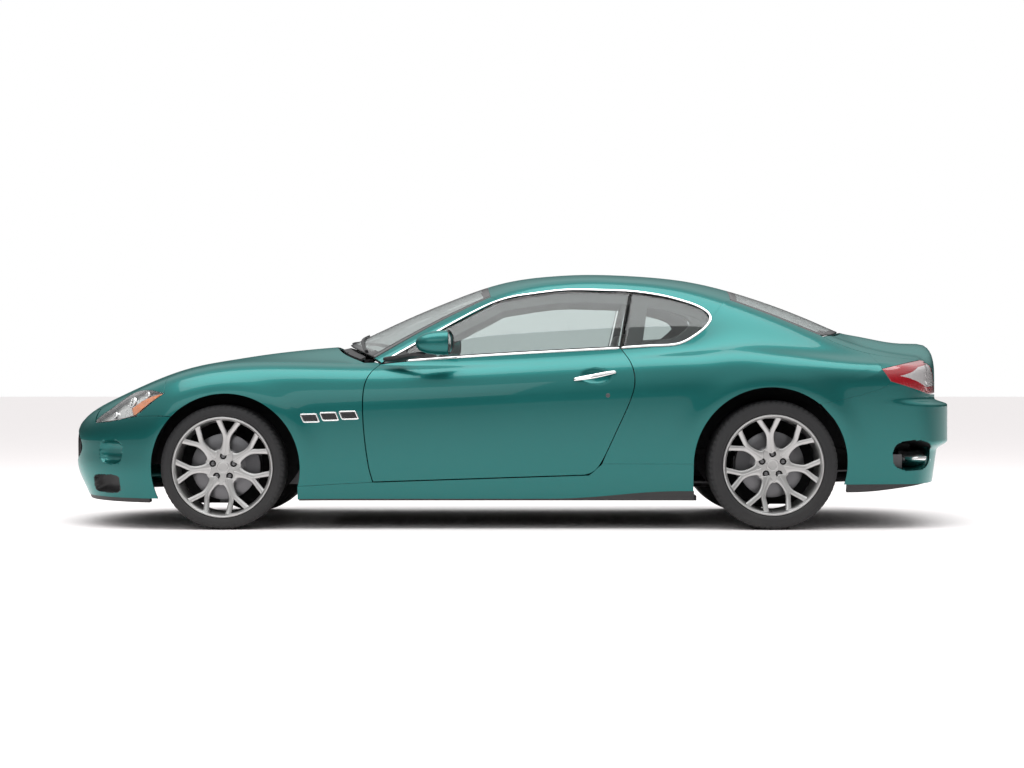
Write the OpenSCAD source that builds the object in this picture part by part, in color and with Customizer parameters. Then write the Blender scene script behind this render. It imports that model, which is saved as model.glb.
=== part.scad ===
/* [Overall] */
// Distance between the front and rear wheel centres
wheelbase = 2942; // [2900:1:3000]
// Front axle, measured from the middle of the car towards the nose
front_axle = 1542; // [1520:1:1560]
// Half of the distance between the front tyre centrelines
front_half_track = 793; // [780:1:800]
// Half of the distance between the rear tyre centrelines
rear_half_track = 795; // [780:1:800]
// Gap between neighbouring outer panels
panel_gap = 7.5; // [7:0.5:9]

/* [Wheels] */
// Outer radius of the front tyres
front_tyre_r = 334; // [325:1:340]
// Width of the front tyres
front_tyre_w = 245; // [225:5:255]
// Outer radius of the rear tyres
rear_tyre_r = 346; // [335:1:352]
// Width of the rear tyres
rear_tyre_w = 285; // [265:5:295]
// Radius over the rim flanges
rim_r = 270; // [262:1:276]
// Pitch circle of the wheel bolts
bolt_circle_r = 54; // [50:1:60]
// Radius of the brake discs
disc_r = 178; // [165:1:185]
// Radius of the wheel bearings' spindles
spindle_r = 22; // [18:0.5:26]
// Radius of the steering pivot pins
kingpin_r = 10; // [8:0.5:12]

/* [Openings] */
// Radius of the front wheel arches
front_arch_r = 398; // [390:1:405]
// Radius of the rear wheel arches
rear_arch_r = 412; // [395:1:420]

/* [Walls] */
// Thickness of the outer panels
skin_t = 12; // [8:1:16]
// Distance of the doors' inner trim from the middle of the car
door_inner = 790; // [780:1:795]
// Thickness of the window glass
glass_t = 5; // [4:0.5:8]
// Thickness of the roof with its lining
roof_t = 30; // [20:1:40]
// Thickness of the bonnet with its inner frame
hood_t = 25; // [15:1:30]

/* [Number plate] */
// Distance between the two bolts of the rear plate, mm
plate_bolts = 300; // [200:10:440]
// Height of the rear plate's bolts above the ground, mm
plate_height = 590; // [500:5:640]

/* [Hidden] */
$fn = 48;

rear_axle = wheelbase - front_axle;
front_hub = [-front_axle, front_tyre_r];
rear_hub = [rear_axle, rear_tyre_r];
front_arch = front_hub + [15, -4];
rear_arch = rear_hub + [-12, 4];
seam = 0.4;
g = panel_gap;
paint = [0.12, 0.42, 0.40];
black = [0.05, 0.05, 0.05];
silver = [0.75, 0.75, 0.76];
clear = [0.6, 0.66, 0.66];

// ---- Smooth curves and the shape of the body ----

// Uniform cubic B-spline: control value c[k] stands at start + k * step
function curve(x, start, step, c) =
    let (u = min(max((x - start) / step - 1, 0), len(c) - 3.001), i = floor(u), t = u - i, r = 1 - t)
    (r * r * r * c[i] + (3 * t * t * t - 6 * t * t + 4) * c[i + 1]
        + (3 * r * r * r - 6 * r * r + 4) * c[i + 2] + t * t * t * c[i + 3]) / 6;
function smooth_max(a, b, k) = max(a, b) + k * ln(1 + exp(-abs(a - b) / k));
function smooth_min(a, b, k) = min(a, b) - k * ln(1 + exp(-abs(a - b) / k));
function ease(t) = let (u = min(max(t, 0), 1)) u * u * u * (u * (6 * u - 15) + 10);

// Height of the body below the glass, on the centreline: bonnet, then boot lid
function mid_height(x) = curve(x, -2600, 200, [500, 620, 712, 807, 877, 908, 943, 966, 985, 993, 990, 980,
    975, 970, 970, 980, 990, 1000, 1015, 1030, 1045, 1062, 1072, 1046, 996, 1014, 1030]);
// Height of the crest of the wings and shoulders
function crest_height(x) = curve(x, -2600, 200, [480, 590, 680, 772, 856, 900, 912, 910, 906, 900, 903, 910,
    919, 930, 943, 956, 968, 979, 985, 984, 972, 950, 928, 915, 908, 900, 890]);
// Half width of the body at its widest height
function half_width(x) = curve(x, -2600, 200, [880, 895, 905, 915, 925, 926, 927, 921, 914, 912, 914, 918,
    920, 922, 924, 926, 930, 935, 941, 945, 947, 946, 938, 920, 897, 872, 850]);
function wide_height(x) = 712 + 0.06 * x;
function arch_flare(x, z, hub, r) =
    let (d = norm([x - hub[0], z - hub[1]]) - r - 25) 9 * exp(-d * d / 5000);
function side_wall(x, z) =
    let (u = z - wide_height(x))
    half_width(x) - (u > 0 ? 0.05 * u + 0.0006 * u * u : 0.00022 * u * u)
        + arch_flare(x, z, front_arch, front_arch_r) + arch_flare(x, z, rear_arch, rear_arch_r);
function top_wall(x, y) =
    let (m = mid_height(x), c = crest_height(x))
    m + (c - m) * ease(abs(y) / 760) - 30 * pow(abs(y) / 900, 4);
// Front and rear faces, bowed in plan
function nose_wall(y, z) = let (q = y * y / 1e6)
    curve(z, -100, 100, [-2300, -2330, -2366, -2404, -2458, -2456, -2462, -2440, -2376, -2280, -2180, -2080, -1980])
        + 240 * q + 400 * q * q;
function tail_wall(y, z) = let (q = y * y / 1e6)
    2378 + 72 * ease((700 - z) / 40) - 60 * ease((470 - z) / 60) - 0.14 * max(0, 420 - z) * (z < 420 ? 1 : 0)
        - 100 * q - 260 * q * q;
function corner_soft(x) = curve(x, -2600, 400, [60, 60, 62, 60, 55, 55, 55, 55, 60, 60, 50, 35, 25, 25]);
function lower_body(x, y, z) =
    let (side = abs(y) - side_wall(x, z), top = z - top_wall(x, y),
        hull2 = smooth_max(side, top, corner_soft(x)))
    x < -1200 ? smooth_max(hull2, nose_wall(y, z) - x, 42)
        : x > 1500 ? smooth_max(hull2, x - tail_wall(y, z), 28) : hull2;

// Roof line on the centreline: windscreen, roof, rear window
function roof_height(x) = curve(x, -1400, 150, [770, 840, 910, 978, 1048, 1119, 1186, 1246, 1305, 1352, 1378,
    1391, 1399, 1397, 1390, 1379, 1361, 1329, 1287, 1238, 1183, 1120, 1052, 990, 930, 870, 810]);
function roof_bow(x) = let (e = exp((x - 450) / 250)) 330 * (e - 1) / (e + 1);
function cabin_top(x, y) = let (q = y * y / 1e6) roof_height(x + roof_bow(x) * q) - 160 * q;
function belt_half_width(x) = curve(x, -1200, 300, [720, 750, 782, 806, 820, 825, 822, 806, 775, 730, 668, 600, 540, 480]);
function belt_height(x) = curve(x, -1200, 300, [868, 872, 874, 888, 908, 927, 946, 962, 975, 980, 980, 980, 980, 980]);
function cabin_side(x, z) =
    let (u = z - belt_height(x), v = max(u, -60))
    belt_half_width(x) - 0.44 * v - 0.0004 * v * abs(v) - 0.5 * max(0, -60 - u);
function cabin(x, y, z) = smooth_max(abs(y) - cabin_side(x, z), z - cabin_top(x, y), 26);
function pillar_blend(x, y) = 8 + 50 * ease((x - 850) / 500) * ease((abs(y) - 350) / 250);
function body(p) =
    let (low = lower_body(p[0], p[1], p[2]))
    p[0] > -1100 && p[0] < 2250 ? smooth_min(low, cabin(p[0], p[1], p[2]), pillar_blend(p[0], p[1])) : low;
function normal_at(p) =
    let (e = 1.5, f = body(p),
        g = [body([p[0] + e, p[1], p[2]]) - f, body([p[0], p[1] + e, p[2]]) - f, body([p[0], p[1], p[2] + e]) - f])
    g / norm(g);

// ---- Rays that find the body's surface: kind, two coordinates ----

barrel_y = 480;
barrel_z = 470;
nose_pole = -1650;
tail_pole = 1750;
lid_x = 1900;
lid_z = 640;
function ray(kind, a, b) =
    kind == "side" ? [[a, 0, b], [0, -1, 0], 200, 1150]
    : kind == "top" ? [[a, b, 0], [0, 0, 1], 560, 1500]
    : kind == "barrel" ? [[a, -barrel_y, barrel_z], [0, -cos(b), sin(b)], 30, 900]
    : kind == "roof" ? [[a, 0, 700], [0, cos(b), sin(b)], 60, 1100]
    : kind == "lid" ? [[lid_x, a, lid_z], [cos(b), 0, sin(b)], 60, 900]
    : kind == "nose" ? [[nose_pole, 0, b], [-cos(a), -sin(a), 0], 100, 1200]
    : [[tail_pole, 0, b], [cos(a), -sin(a), 0], 100, 1200];
function unray(kind, p) =
    kind == "side" ? [p[0], p[2]]
    : kind == "top" ? [p[0], p[1]]
    : kind == "barrel" ? [p[0], atan2(p[2] - barrel_z, -p[1] - barrel_y)]
    : kind == "roof" ? [p[0], atan2(p[2] - 700, p[1])]
    : kind == "lid" ? [p[1], atan2(p[2] - lid_z, p[0] - lid_x)]
    : kind == "nose" ? [atan2(-p[1], nose_pole - p[0]), p[2]]
    : [atan2(-p[1], p[0] - tail_pole), p[2]];
function seek(o, d, lo, hi, flo, fhi, n) =
    let (t = lo - flo * (hi - lo) / (fhi - flo), f = body(o + t * d))
    n == 0 || abs(f) < 0.04 ? o + t * d
    : f < 0 ? seek(o, d, t, hi, f, fhi / 2, n - 1)
    : seek(o, d, lo, t, flo / 2, f, n - 1);
function hit(kind, a, b) =
    let (r = ray(kind, a, b))
    seek(r[0], r[1], r[2], r[3], body(r[0] + r[2] * r[1]), body(r[0] + r[3] * r[1]), 14);

// ---- Outlines ----

// n + 1 points through a list of points, bending smoothly
function bend(p, n) = [for (i = [0:n])
    let (u = i * (len(p) - 1) / n, k = min(floor(u), len(p) - 2), t = u - k,
        a = p[max(k - 1, 0)], b = p[k], c = p[k + 1], d = p[min(k + 2, len(p) - 1)])
    0.5 * (2 * b + (c - a) * t + (2 * a - 5 * b + 4 * c - d) * t * t + (3 * b - a - 3 * c + d) * t * t * t)];
function line(a, b, n) = [for (i = [0:n]) a + (b - a) * i / n];
function arc(c, r, a0, a1, n) = [for (i = [0:n]) let (a = a0 + (a1 - a0) * i / n) c + r * [cos(a), sin(a)]];
function back(p) = [for (i = [len(p) - 1:-1:0]) p[i]];
// Joins runs of points that share their ends
function chain(runs) = [for (k = [0:len(runs) - 1]) each (k == 0 ? runs[k] : [for (i = [1:len(runs[k]) - 1]) runs[k][i]])];
// Points on the left flank given by length and height, or on top given by length and width
function on_side(p, dx = 0, dz = 0) = [for (q = p) hit("side", q[0] + dx, q[1] + dz)];
function on_top(p, dx = 0, dy = 0) = [for (q = p) hit("top", q[0] + dx, q[1] + dy)];
function right_of(p) = [for (q = p) [q[0], -q[1], q[2]]];
// Points of a four-sided patch, from its bottom, top, left and right edges
function coons(kind, bottom3, top3, left3, right3) =
    let (bottom = [for (p = bottom3) unray(kind, p)], top = [for (p = top3) unray(kind, p)],
        left = [for (p = left3) unray(kind, p)], right = [for (p = right3) unray(kind, p)],
        m = len(bottom) - 1, n = len(left) - 1)
    [for (j = [0:n]) [for (i = [0:m])
        j == 0 ? bottom3[i] : j == n ? top3[i] : i == 0 ? left3[j] : i == m ? right3[j]
        : let (s = i / m, t = j / n,
            q = (1 - t) * bottom[i] + t * top[i] + (1 - s) * left[j] + s * right[j]
                - (1 - s) * (1 - t) * bottom[0] - s * (1 - t) * bottom[m] - (1 - s) * t * top[0] - s * t * top[m])
            hit(kind, q[0], q[1])]];
// A straight run between two surface points, in the ray's own coordinates
function run(kind, a, b, n) =
    let (p = unray(kind, a), q = unray(kind, b))
    [for (i = [0:n]) i == 0 ? a : i == n ? b : let (r = p + (q - p) * i / n) hit(kind, r[0], r[1])];
function sunk(grid, t) = [for (row = grid) [for (p = row) p - t * normal_at(p)]];

// Closed plate between an outer and an inner grid of points; a ring closes on itself
module plate(outer, inner, flip = false, ring = false) {
    n = len(outer) - 1;
    w = len(outer[0]);
    m = ring ? w : w - 1;
    count = (n + 1) * w;
    function quad(a, b, c, d) = [[a, b, c], [a, c, d]];
    rims = ring ? [[for (i = [0:w - 1]) i], [for (i = [w - 1:-1:0]) n * w + i]]
        : [concat([for (i = [0:m]) i], [for (j = [1:n]) j * w + m], [for (i = [m - 1:-1:0]) n * w + i],
            [for (j = [n - 1:-1:1]) j * w])];
    skins = [for (j = [0:n - 1], i = [0:m - 1]) let (a = j * w + i, b = j * w + (i + 1) % w)
        each concat(quad(a, a + w, b + w, b), quad(count + a, count + b, count + b + w, count + a + w))];
    edge = [for (rim = rims, k = [0:len(rim) - 1]) let (a = rim[k], b = rim[(k + 1) % len(rim)])
        each quad(a, b, count + b, count + a)];
    faces = concat(skins, edge);
    polyhedron(concat([for (r = outer) each r], [for (r = inner) each r]),
        flip ? [for (f = faces) [f[2], f[1], f[0]]] : faces);
}
module skin(grid, t, flip = false, ring = false) {
    plate(grid, sunk(grid, t), flip, ring);
}
module both_sides() {
    children();
    mirror([0, 1, 0]) children();
}

// ---- Seams of the outer panels ----

function sill_line(x) = x < -739 ? 253 + 0.0546 * (x + 739) : 253 + 0.033 * (x + 739);
door_front = bend([[-738, 257], [-760, 340], [-782, 508], [-790, 669], [-780, 777], [-748, 842], [-704, 884]], 10);
door_rear = bend([[340, 292.5], [420, 300], [478, 354], [562, 530], [636, 697], [659, 797], [640, 891], [590, 968]], 12);
door_top = bend([[-704, 884], [-480, 905], [0, 936], [590, 968]], 18);
pillar_low = bend([[-700, 893], [-550, 978], [-400, 1062], [-250, 1142], [-130, 1204], [-72, 1236]], 14);
front_sill = line([-1142.5, 231], [-738 - g, sill_line(-745)], 7);
rear_sill = line([rear_arch[0] - rear_arch_r, 352], [488, 352], 8);
lamp_rear = bend([[-2010, 604], [-1952, 655], [-1898, 700], [-1858, 728]], 5);
lamp_low = bend([[-2268, 566], [-2180, 573], [-2090, 586], [-2010, 604]], 6);
hood_edge = bend([[-2250, -560], [-2160, -600], [-2060, -655], [-1960, -702], [-1860, -738], [-1700, -736], [-1500, -727],
    [-1300, -716], [-1100, -706], [-940, -703], [-800, -706]], 20);
lamp_end = 8;
quarter_low = [[632 + g, 352], [488 + g, 352]];
screen_edge = bend([[1206, -553], [1400, -580], [1560, -594], [1700, -604]], 8);
lid_edge = bend([[1716, -606], [1775, -630], [1889, -655], [2010, -664], [2140, -657], [2235, -638]], 8);
lamp_top = bend([[2225, 908], [2150, 896], [2060, 878], [1981, 860]], 5);
lamp_front = bend([[1981, 860], [2002, 830], [2028, 793]], 4);
bumper_seam = bend([[1651, 672], [1740, 690], [1850, 716], [1950, 744], [2005, 768], [2028, 793]], 7);
window_low = bend([[600, 966], [760, 978], [880, 984], [960, 1012], [1030, 1066], [1080, 1116]], 9);
window_top = bend([[660, 1276], [760, 1264], [860, 1245], [960, 1216], [1040, 1180], [1082, 1128]], 9);
rail = bend([[-72, 1236], [100, 1270], [300, 1292], [500, 1290], [653, 1284], [760, 1271], [860, 1252], [960, 1223],
    [1046, 1186], [1092, 1134]], 20);
pillar_top = bend([[-742, -700], [-600, -664], [-450, -628], [-300, -592], [-180, -562], [-112, -546]], 14);

module front_fender() {
    tip = on_side([lamp_rear[5]])[0];
    hood = [for (i = [lamp_end:20]) hit("top", hood_edge[i][0], hood_edge[i][1] - g)];
    corner = hit("side", -704 - g, 884 + g);
    low = on_side(front_sill);
    outline = chain([on_side(lamp_rear, seam), run("barrel", tip, hood[0], 3), hood, run("barrel", hood[len(hood) - 1], corner, 3),
        concat([corner], on_side(back([for (i = [1:10]) door_front[i]]), -g), [low[7]])]);
    k = len(outline) - 1;
    arch = [for (q = arc(front_arch, front_arch_r, 136, -14.4, k)) hit("side", q[0], q[1])];
    skin(coons("barrel", [for (i = [0:k]) i == k ? low[0] : arch[i]], outline, run("barrel", arch[0], outline[0], 7), low), skin_t);
}
module rear_quarter() {
    low = on_side(rear_sill);
    edge = concat([low[8]], on_side([for (i = [4:12]) door_rear[i] + [i > 8 ? g + 3 : g, 0]]));
    window = on_side(window_low, 0, -seam);
    tip = hit("side", 1092, 1134);
    screen = on_top(screen_edge, 0, -seam);
    lid = on_top(lid_edge, 0, -g);
    outline = chain([edge, [edge[len(edge) - 1], window[0]], window, [window[9], quarter_end[0]], quarter_end,
        [quarter_end[3], screen[0]], screen, [screen[8], lid[0]], [for (i = [0:4]) lid[i]],
        run("barrel", lid[4], hit("side", 1981, 860), 2), on_side(lamp_front)]);
    k = len(outline) - 1;
    arch = on_side(arc(rear_arch, rear_arch_r, 180, 51, k));
    seam_run = on_side(bumper_seam);
    skin(coons("barrel", [for (i = [0:k]) i == 0 ? low[0] : i == k ? seam_run[0] : arch[i]], outline, low, seam_run), skin_t);
}
module rear_shoulder() {
    inner = on_top([for (i = [4:8]) lid_edge[i] - [0, 0.5 * (i - 4)]], seam, -g);
    outer = on_side(bend(back(lamp_top), 4), seam, seam);
    skin(coons("barrel", outer, inner, run("barrel", outer[0], inner[0], 2), run("barrel", outer[4], inner[4], 2)), skin_t);
}
module front_fenders() { color(paint) both_sides() front_fender(); }
module rear_quarters() {
    color(paint) both_sides() {
        rear_quarter();
        rear_shoulder();
    }
}
module sill() {
    mid = [for (i = [0:8]) let (x = -730 + 1150 * i / 8) [x, sill_line(x) - g / 2]];
    top = concat([for (q = front_sill) q - [0, seam]], mid, [[438, 292], [486, 343]], [for (q = back(rear_sill)) q - [0, seam]]);
    k = len(top) - 1;
    bottom = line([top[0][0], 160], [top[k][0], 160], k);
    outer = coons("side", on_side(bottom), on_side(top), on_side(line(bottom[0], top[0], 4)), on_side(line(bottom[k], top[k], 4)));
    plate(outer, [for (row = outer) [for (p = row) [p[0], -door_inner - 0.3, p[2]]]]);
}
module sills() { color(paint) both_sides() sill(); }

// ---- Front end ----

mouth_z = 432;
module front_bumper() {
    edge_z = [165, 200, 260, 330, 400, 470, 540, 604];
    function arch_x(z) = front_arch[0] - sqrt(pow(front_arch_r, 2) - pow(z - front_arch[1], 2));
    left_arch = on_side([for (z = edge_z) [arch_x(z), z]]);
    left_seam = run("barrel", hit("side", arch_x(604), 604 - seam), hit("side", -2010, 604 - seam), 2);
    left_low = on_side(back(lamp_low), 0, -seam);
    left_lamp = run("nose", left_low[6], hit("top", -2250 - g, -560), 1);
    half = [for (k = [0:6]) let (s = 1 - k / 6) hit("top", -2250 - g - 110 * (1 - s * s), -560 * s)];
    left = chain([left_arch, [left_arch[7], left_seam[0]], left_seam, left_low, left_lamp, half]);
    right = back(right_of([for (i = [0:len(left) - 2]) left[i]]));
    a0 = unray("nose", left_arch[0])[0];
    bottom = [for (i = [1:19]) hit("nose", -a0 + 2 * a0 * i / 20, 165)];
    loop = concat(left, right, bottom);
    params = [for (p = loop) unray("nose", p)];
    mouth = [for (q = params) let (u = q[0] / 36, v = (q[1] - mouth_z) / 105, a = atan2(v, u)) [36 * cos(a), mouth_z + 105 * sin(a)]];
    n = 6;
    grid = [for (j = [0:n]) [for (i = [0:len(loop) - 1])
        j == n ? loop[i] : let (q = mouth[i] + (params[i] - mouth[i]) * j / n) hit("nose", q[0], q[1])]];
    color(paint) skin(grid, skin_t, false, true);
}
module grille() {
    n = 4;
    grid = [for (j = [0:8]) [for (i = [0:16]) hit("nose", 37.5 * (i / 8 - 1) * 0.98, mouth_z + 109 * (j / 4 - 1) * sqrt(1.06 - pow(i / 8 - 1, 2)))]];
    outer = sunk(grid, skin_t + 3.5);
    color(black) plate(outer, sunk(grid, skin_t + 12), true);
}
module headlamp() {
    low = chain([on_side(lamp_low, 0, 2 * seam), on_side(lamp_rear, -seam)]);
    k = lamp_end;
    up = bend([for (i = [0:k]) hit("top", hood_edge[i][0] - (i == k ? seam : 0), hood_edge[i][1] - g)], len(low) - 1);
    left = run("barrel", low[0], up[0], 3);
    right = run("barrel", low[len(low) - 1], up[len(up) - 1], 3);
    skin(coons("barrel", low, up, left, right), 35);
}
module headlamps() { color(clear) both_sides() headlamp(); }
hood_pivot = [-776, 905];
lid_pivot = [1660, 1020];
pin_r = 5;
// A cranked arm with a bored eye on a crosswise pin; its foot lies under the panel it carries, t thick
module hinge_arm(pivot, bend_at, x, y, w, t) {
    foot = [for (i = [-1, 1]) [for (j = [-1, 1]) hit("top", x + 14 * i, y + w / 2 * j)]];
    module rod(q, r) { translate([q[0], y, q[1]]) rotate([90, 0, 0]) cylinder(r = r, h = w, center = true); }
    difference() {
        union() {
            hull() {
                rod(pivot, pin_r + 4);
                rod(bend_at, 7);
            }
            hull() {
                rod(bend_at, 7);
                plate(sunk(foot, t + 0.5), sunk(foot, t + 10));
            }
        }
        translate([pivot[0], y, pivot[1]]) rotate([90, 0, 0]) cylinder(r = pin_r + 0.05, h = w + 2, center = true);
    }
}
module hood() {
    left = on_top(hood_edge);
    right = right_of(left);
    function across(x, w, bow, m) = [for (j = [0:m]) let (s = 2 * j / m - 1) hit("top", x + bow * (1 - s * s), w * s)];
    front = across(left[0][0], -left[0][1], -110, 14);
    rear = across(left[20][0], -left[20][1], -190, 14);
    color(paint) {
        skin(coons("top", left, right, front, rear), hood_t);
        for (s = [-1, 1]) hinge_arm(hood_pivot, [-800, 866], -890, s * 640, 16, hood_t);
    }
}
module cowl() {
    n = 12;
    hood_side = [for (j = [0:n]) let (y = 585 * (2 * j / n - 1)) hit("top", -768 - 190 * (1 - pow(y / 700, 2)), y)];
    glass_side = [for (j = [0:n]) let (y = 585 * (2 * j / n - 1)) hit("top", -744 - 175 * (1 - pow(y / 700, 2)), y)];
    grid = [for (k = [0:2]) [for (j = [0:n]) hood_side[j] + (glass_side[j] - hood_side[j]) * k / 2 - [0, 0, 16]]];
    color(black) {
        plate(grid, [for (row = grid) [for (p = row) p - [0, 0, 12]]], true);
        for (s = [-1, 1]) translate([-919, s * 300 - 30, 820.3]) cube([26, 60, hit("top", -906, 300)[2] - 842]);
    }
}

// ---- Glasshouse ----

pillar_end = run("roof", hit("side", -72, 1236), hit("top", -112, -546), 3);
quarter_end = run("barrel", hit("side", 1092, 1134), hit("top", 1206, -553), 3);
function screen_top(dx) = [for (j = [0:10]) let (s = 2 * j / 10 - 1) hit("top", -112 - 22 * (1 - s * s) + dx, 546 * s)];
function back_top(dx) = [for (j = [0:10]) let (s = 2 * j / 10 - 1) hit("top", 1206 + 12 * (1 - s * s) + dx, 553 * s)];
module roof() {
    left = [for (i = [0:20]) hit("side", rail[i][0] + (i == 0 ? seam : i == 20 ? -seam : 0), rail[i][1] + seam)];
    right = right_of(left);
    front = chain([[left[0]], [left[0], for (i = [1:2]) pillar_end[i] + [seam, 0, 0.2]], concat([pillar_end[3]], screen_top(seam)),
        concat([pillar_end[3]], [for (i = [2:-1:1]) right_of(pillar_end)[i] + [seam, 0, 0.2]]), [right[0], right[0]]]);
    rear = chain([[left[20]], [left[20], for (i = [1:2]) quarter_end[i] - [3 * seam, 0, -0.2]], concat([quarter_end[3]], back_top(-seam)),
        concat([quarter_end[3]], [for (i = [2:-1:1]) right_of(quarter_end)[i] - [3 * seam, 0, -0.2]]), [right[20], right[20]]]);
    color(paint) skin(coons("roof", left, right, front, rear), roof_t, true);
}
module a_pillar() {
    low = on_side(pillar_low);
    up = on_top(pillar_top, 0, -seam);
    skin(coons("roof", low, up, run("roof", low[0], up[0], 3), [low[14], pillar_end[1], pillar_end[2], up[14]]), 40, true);
}
module a_pillars() { color(paint) both_sides() a_pillar(); }
module windscreen() {
    left = on_top(pillar_top);
    right = right_of(left);
    n = 10;
    front = [for (j = [0:n]) let (s = 2 * j / n - 1) hit("top", -742 - 175 * (1 - s * s), 700 * s)];
    rear = screen_top(0);
    color(clear) skin(coons("top", left, right, [for (j = [0:n]) j == 0 ? left[0] : j == n ? right[0] : front[j]],
        [for (j = [0:n]) j == 0 ? left[14] : j == n ? right[14] : rear[j]]), glass_t, true);
}
module rear_window() {
    left = on_top(screen_edge);
    right = right_of(left);
    n = 10;
    front = back_top(0);
    rear = [for (j = [0:n]) let (s = 2 * j / n - 1) hit("top", 1700 + 160 * (1 - s * s), 604 * s)];
    color(clear) skin(coons("top", left, right, front, rear), glass_t, true);
}
module quarter_window() {
    low = on_side(window_low);
    up = on_side(window_top);
    skin(coons("side", low, up, run("side", low[0], up[0], 5), run("side", low[9], up[9], 5)), glass_t);
}
module quarter_windows() { color(clear) both_sides() quarter_window(); }

// ---- Doors ----

hinge = [-700, -890];
hinge_heights = [540, 700];
sail_x = -566;
module door_panel() {
    m = 12;
    n = 18;
    left = on_side(bend(door_front, m));
    right = on_side(bend(door_rear, m));
    bottom = on_side([for (i = [0:n]) i == 0 ? door_front[0] : i == n ? door_rear[0]
        : let (x = -738 + (340 + 738) * i / n) [x, sill_line(x) + g / 2]]);
    outer = coons("side", bottom, on_side(door_top), left, right);
    function lean(p) = 16 * ease((p[2] - 780) / 80) * (1 - ease((p[0] + 740) / 60));
    inner = [for (j = [0:len(outer) - 1]) [for (p = outer[j])
        [p[0] + lean(p), max(p[1] + 25, -door_inner - 0.5 - 120 * (1 - ease((p[0] + 680) / 60))), p[2] - (j == m ? 8 : 0)]]];
    difference() {
        union() {
            plate(outer, inner);
            for (z = hinge_heights) translate([hinge[0], hinge[1], z - 25]) cylinder(r = pin_r + 4, h = 50);
        }
        for (z = hinge_heights) {
            translate([hinge[0], hinge[1], z - 26]) cylinder(r = pin_r + 0.05, h = 52);
            translate([hinge[0], hinge[1], z - 10.3]) {
                cylinder(r = 14, h = 20.6);
                rotate([0, 0, 155]) translate([0, -12.5, -1]) cube([60, 25, 22.6]);
            }
        }
    }
}
module door_glass() {
    top = bend([[-550, 969], [-400, 1053], [-250, 1133], [-75, 1226]], 6);
    top2 = bend([[-75, 1226], [100, 1261], [300, 1283], [500, 1281.5], [652, 1275]], 8);
    up = on_side(chain([[[sail_x, 960], top[0]], top, top2]));
    low = on_side([for (i = [0:15]) i == 0 ? [sail_x, door_top[4][1] + seam - 1] : door_top[i + 3] + [0, seam]]);
    skin(coons("side", low, up, run("side", low[0], up[0], 5), run("side", low[15], up[15], 5)), glass_t);
}
module door_mirror() {
    low = on_side(line([-690, 887.5], [sail_x - seam, 899.6], 4));
    up = on_side(line([-688, 891], [sail_x - seam, 959], 4));
    skin(coons("side", low, up, run("side", low[0], up[0], 2), run("side", low[4], up[4], 2)), 6);
    hull() {
        translate([-662, -780, 900]) cube([60, 14, 18]);
        translate([-480, -900, 925]) cube([60, 20, 26]);
    }
    hull() {
        translate([-440, -965, 1000]) scale([1, 1.15, 0.9]) sphere(r = 62, $fn = 20);
        translate([-356, -965, 1002]) rotate([0, 90, 0]) scale([0.95, 1.3, 1]) cylinder(r = 64, h = 24, $fn = 24);
        translate([-450, -905, 940]) cube([60, 20, 20]);
    }
}

// ---- Tail ----

module rear_bumper() {
    z0 = 240;
    function arch_x(z) = rear_arch[0] + sqrt(pow(rear_arch_r, 2) - pow(z - rear_arch[1], 2));
    up1 = on_side(bumper_seam, 0, -seam);
    left = concat(on_side([for (z = [240, 300, 360, 420, 480, 540, 600]) [arch_x(z), z]]), [up1[0]]);
    low_lamp = on_side(bend([[2028, 793], [2150, 757], [2262, 724]], 4), 0, -seam);
    mid = [for (i = [1:5]) hit("tail", unray("tail", low_lamp[4])[0] * (1 - i / 5), 722 - 12 * i / 5)];
    half = chain([up1, [up1[7], low_lamp[0]], low_lamp, [low_lamp[4], mid[0]], mid]);
    top = chain([half, back(right_of(half))]);
    k = len(top) - 1;
    a0 = unray("tail", left[0])[0];
    bottom = [for (i = [0:k]) hit("tail", a0 * (1 - 2 * i / k), z0)];
    color(paint) difference() {
        skin(coons("tail", bottom, [for (i = [0:k]) i == 0 ? left[7] : i == k ? right_of([left[7]])[0] : top[i]],
            left, right_of(left)), skin_t, true);
        for (s = [-1, 1]) translate([2380, s * plate_bolts / 2, plate_height]) rotate([0, 90, 0]) cylinder(r = 3, h = 120);
    }
}
lid_end = hit("tail", 40, 724 + g);
lid_drop = run("lid", hit("top", lid_edge[8][0], lid_edge[8][1]), lid_end, 4);
module tail_lamp() {
    low = on_side(bend([[2028, 793], [2150, 757], [2262, 724]], 4), 0, seam);
    inner = [for (p = back(lid_drop)) let (q = unray("tail", p)) hit("tail", q[0] + 1.2, q[1])];
    lower = chain([low, run("tail", low[4], hit("tail", 41.2, 724 + seam), 4)]);
    upper = bend(on_side(back(lamp_top), 0, -2 * seam), 8);
    front = on_side(back(lamp_front), seam, seam);
    skin(coons("tail", lower, upper, [for (i = [0:4]) i == 0 ? lower[0] : i == 4 ? upper[0] : front[i]],
        [for (i = [0:4]) i == 0 ? lower[8] : i == 4 ? upper[8] : inner[i]]), 20, true);
}
module tail_lamps() { color([0.5, 0.03, 0.05]) both_sides() tail_lamp(); }
module trunk_lid() {
    left = on_top(lid_edge);
    side = chain([left, lid_drop]);
    right = right_of(side);
    n = 12;
    front = [for (j = [0:n]) let (s = 2 * j / n - 1) j == 0 ? side[0] : j == n ? right[0] : hit("top", lid_edge[0][0] + 164 * (1 - s * s), -lid_edge[0][1] * s)];
    k = len(side) - 1;
    rear = [for (j = [0:n]) let (s = 1 - 2 * j / n) j == 0 ? side[k] : j == n ? right[k] : hit("tail", 40 * s, 724 - 10 * (1 - s * s) + g)];
    color(paint) {
        skin(coons("lid", side, right, front, rear), 15);
        for (s = [-1, 1]) hinge_arm(lid_pivot, [1690, 957], 1790, s * 585, 14, 15);
    }
}

// ---- Structure, underside and cabin ----

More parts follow.
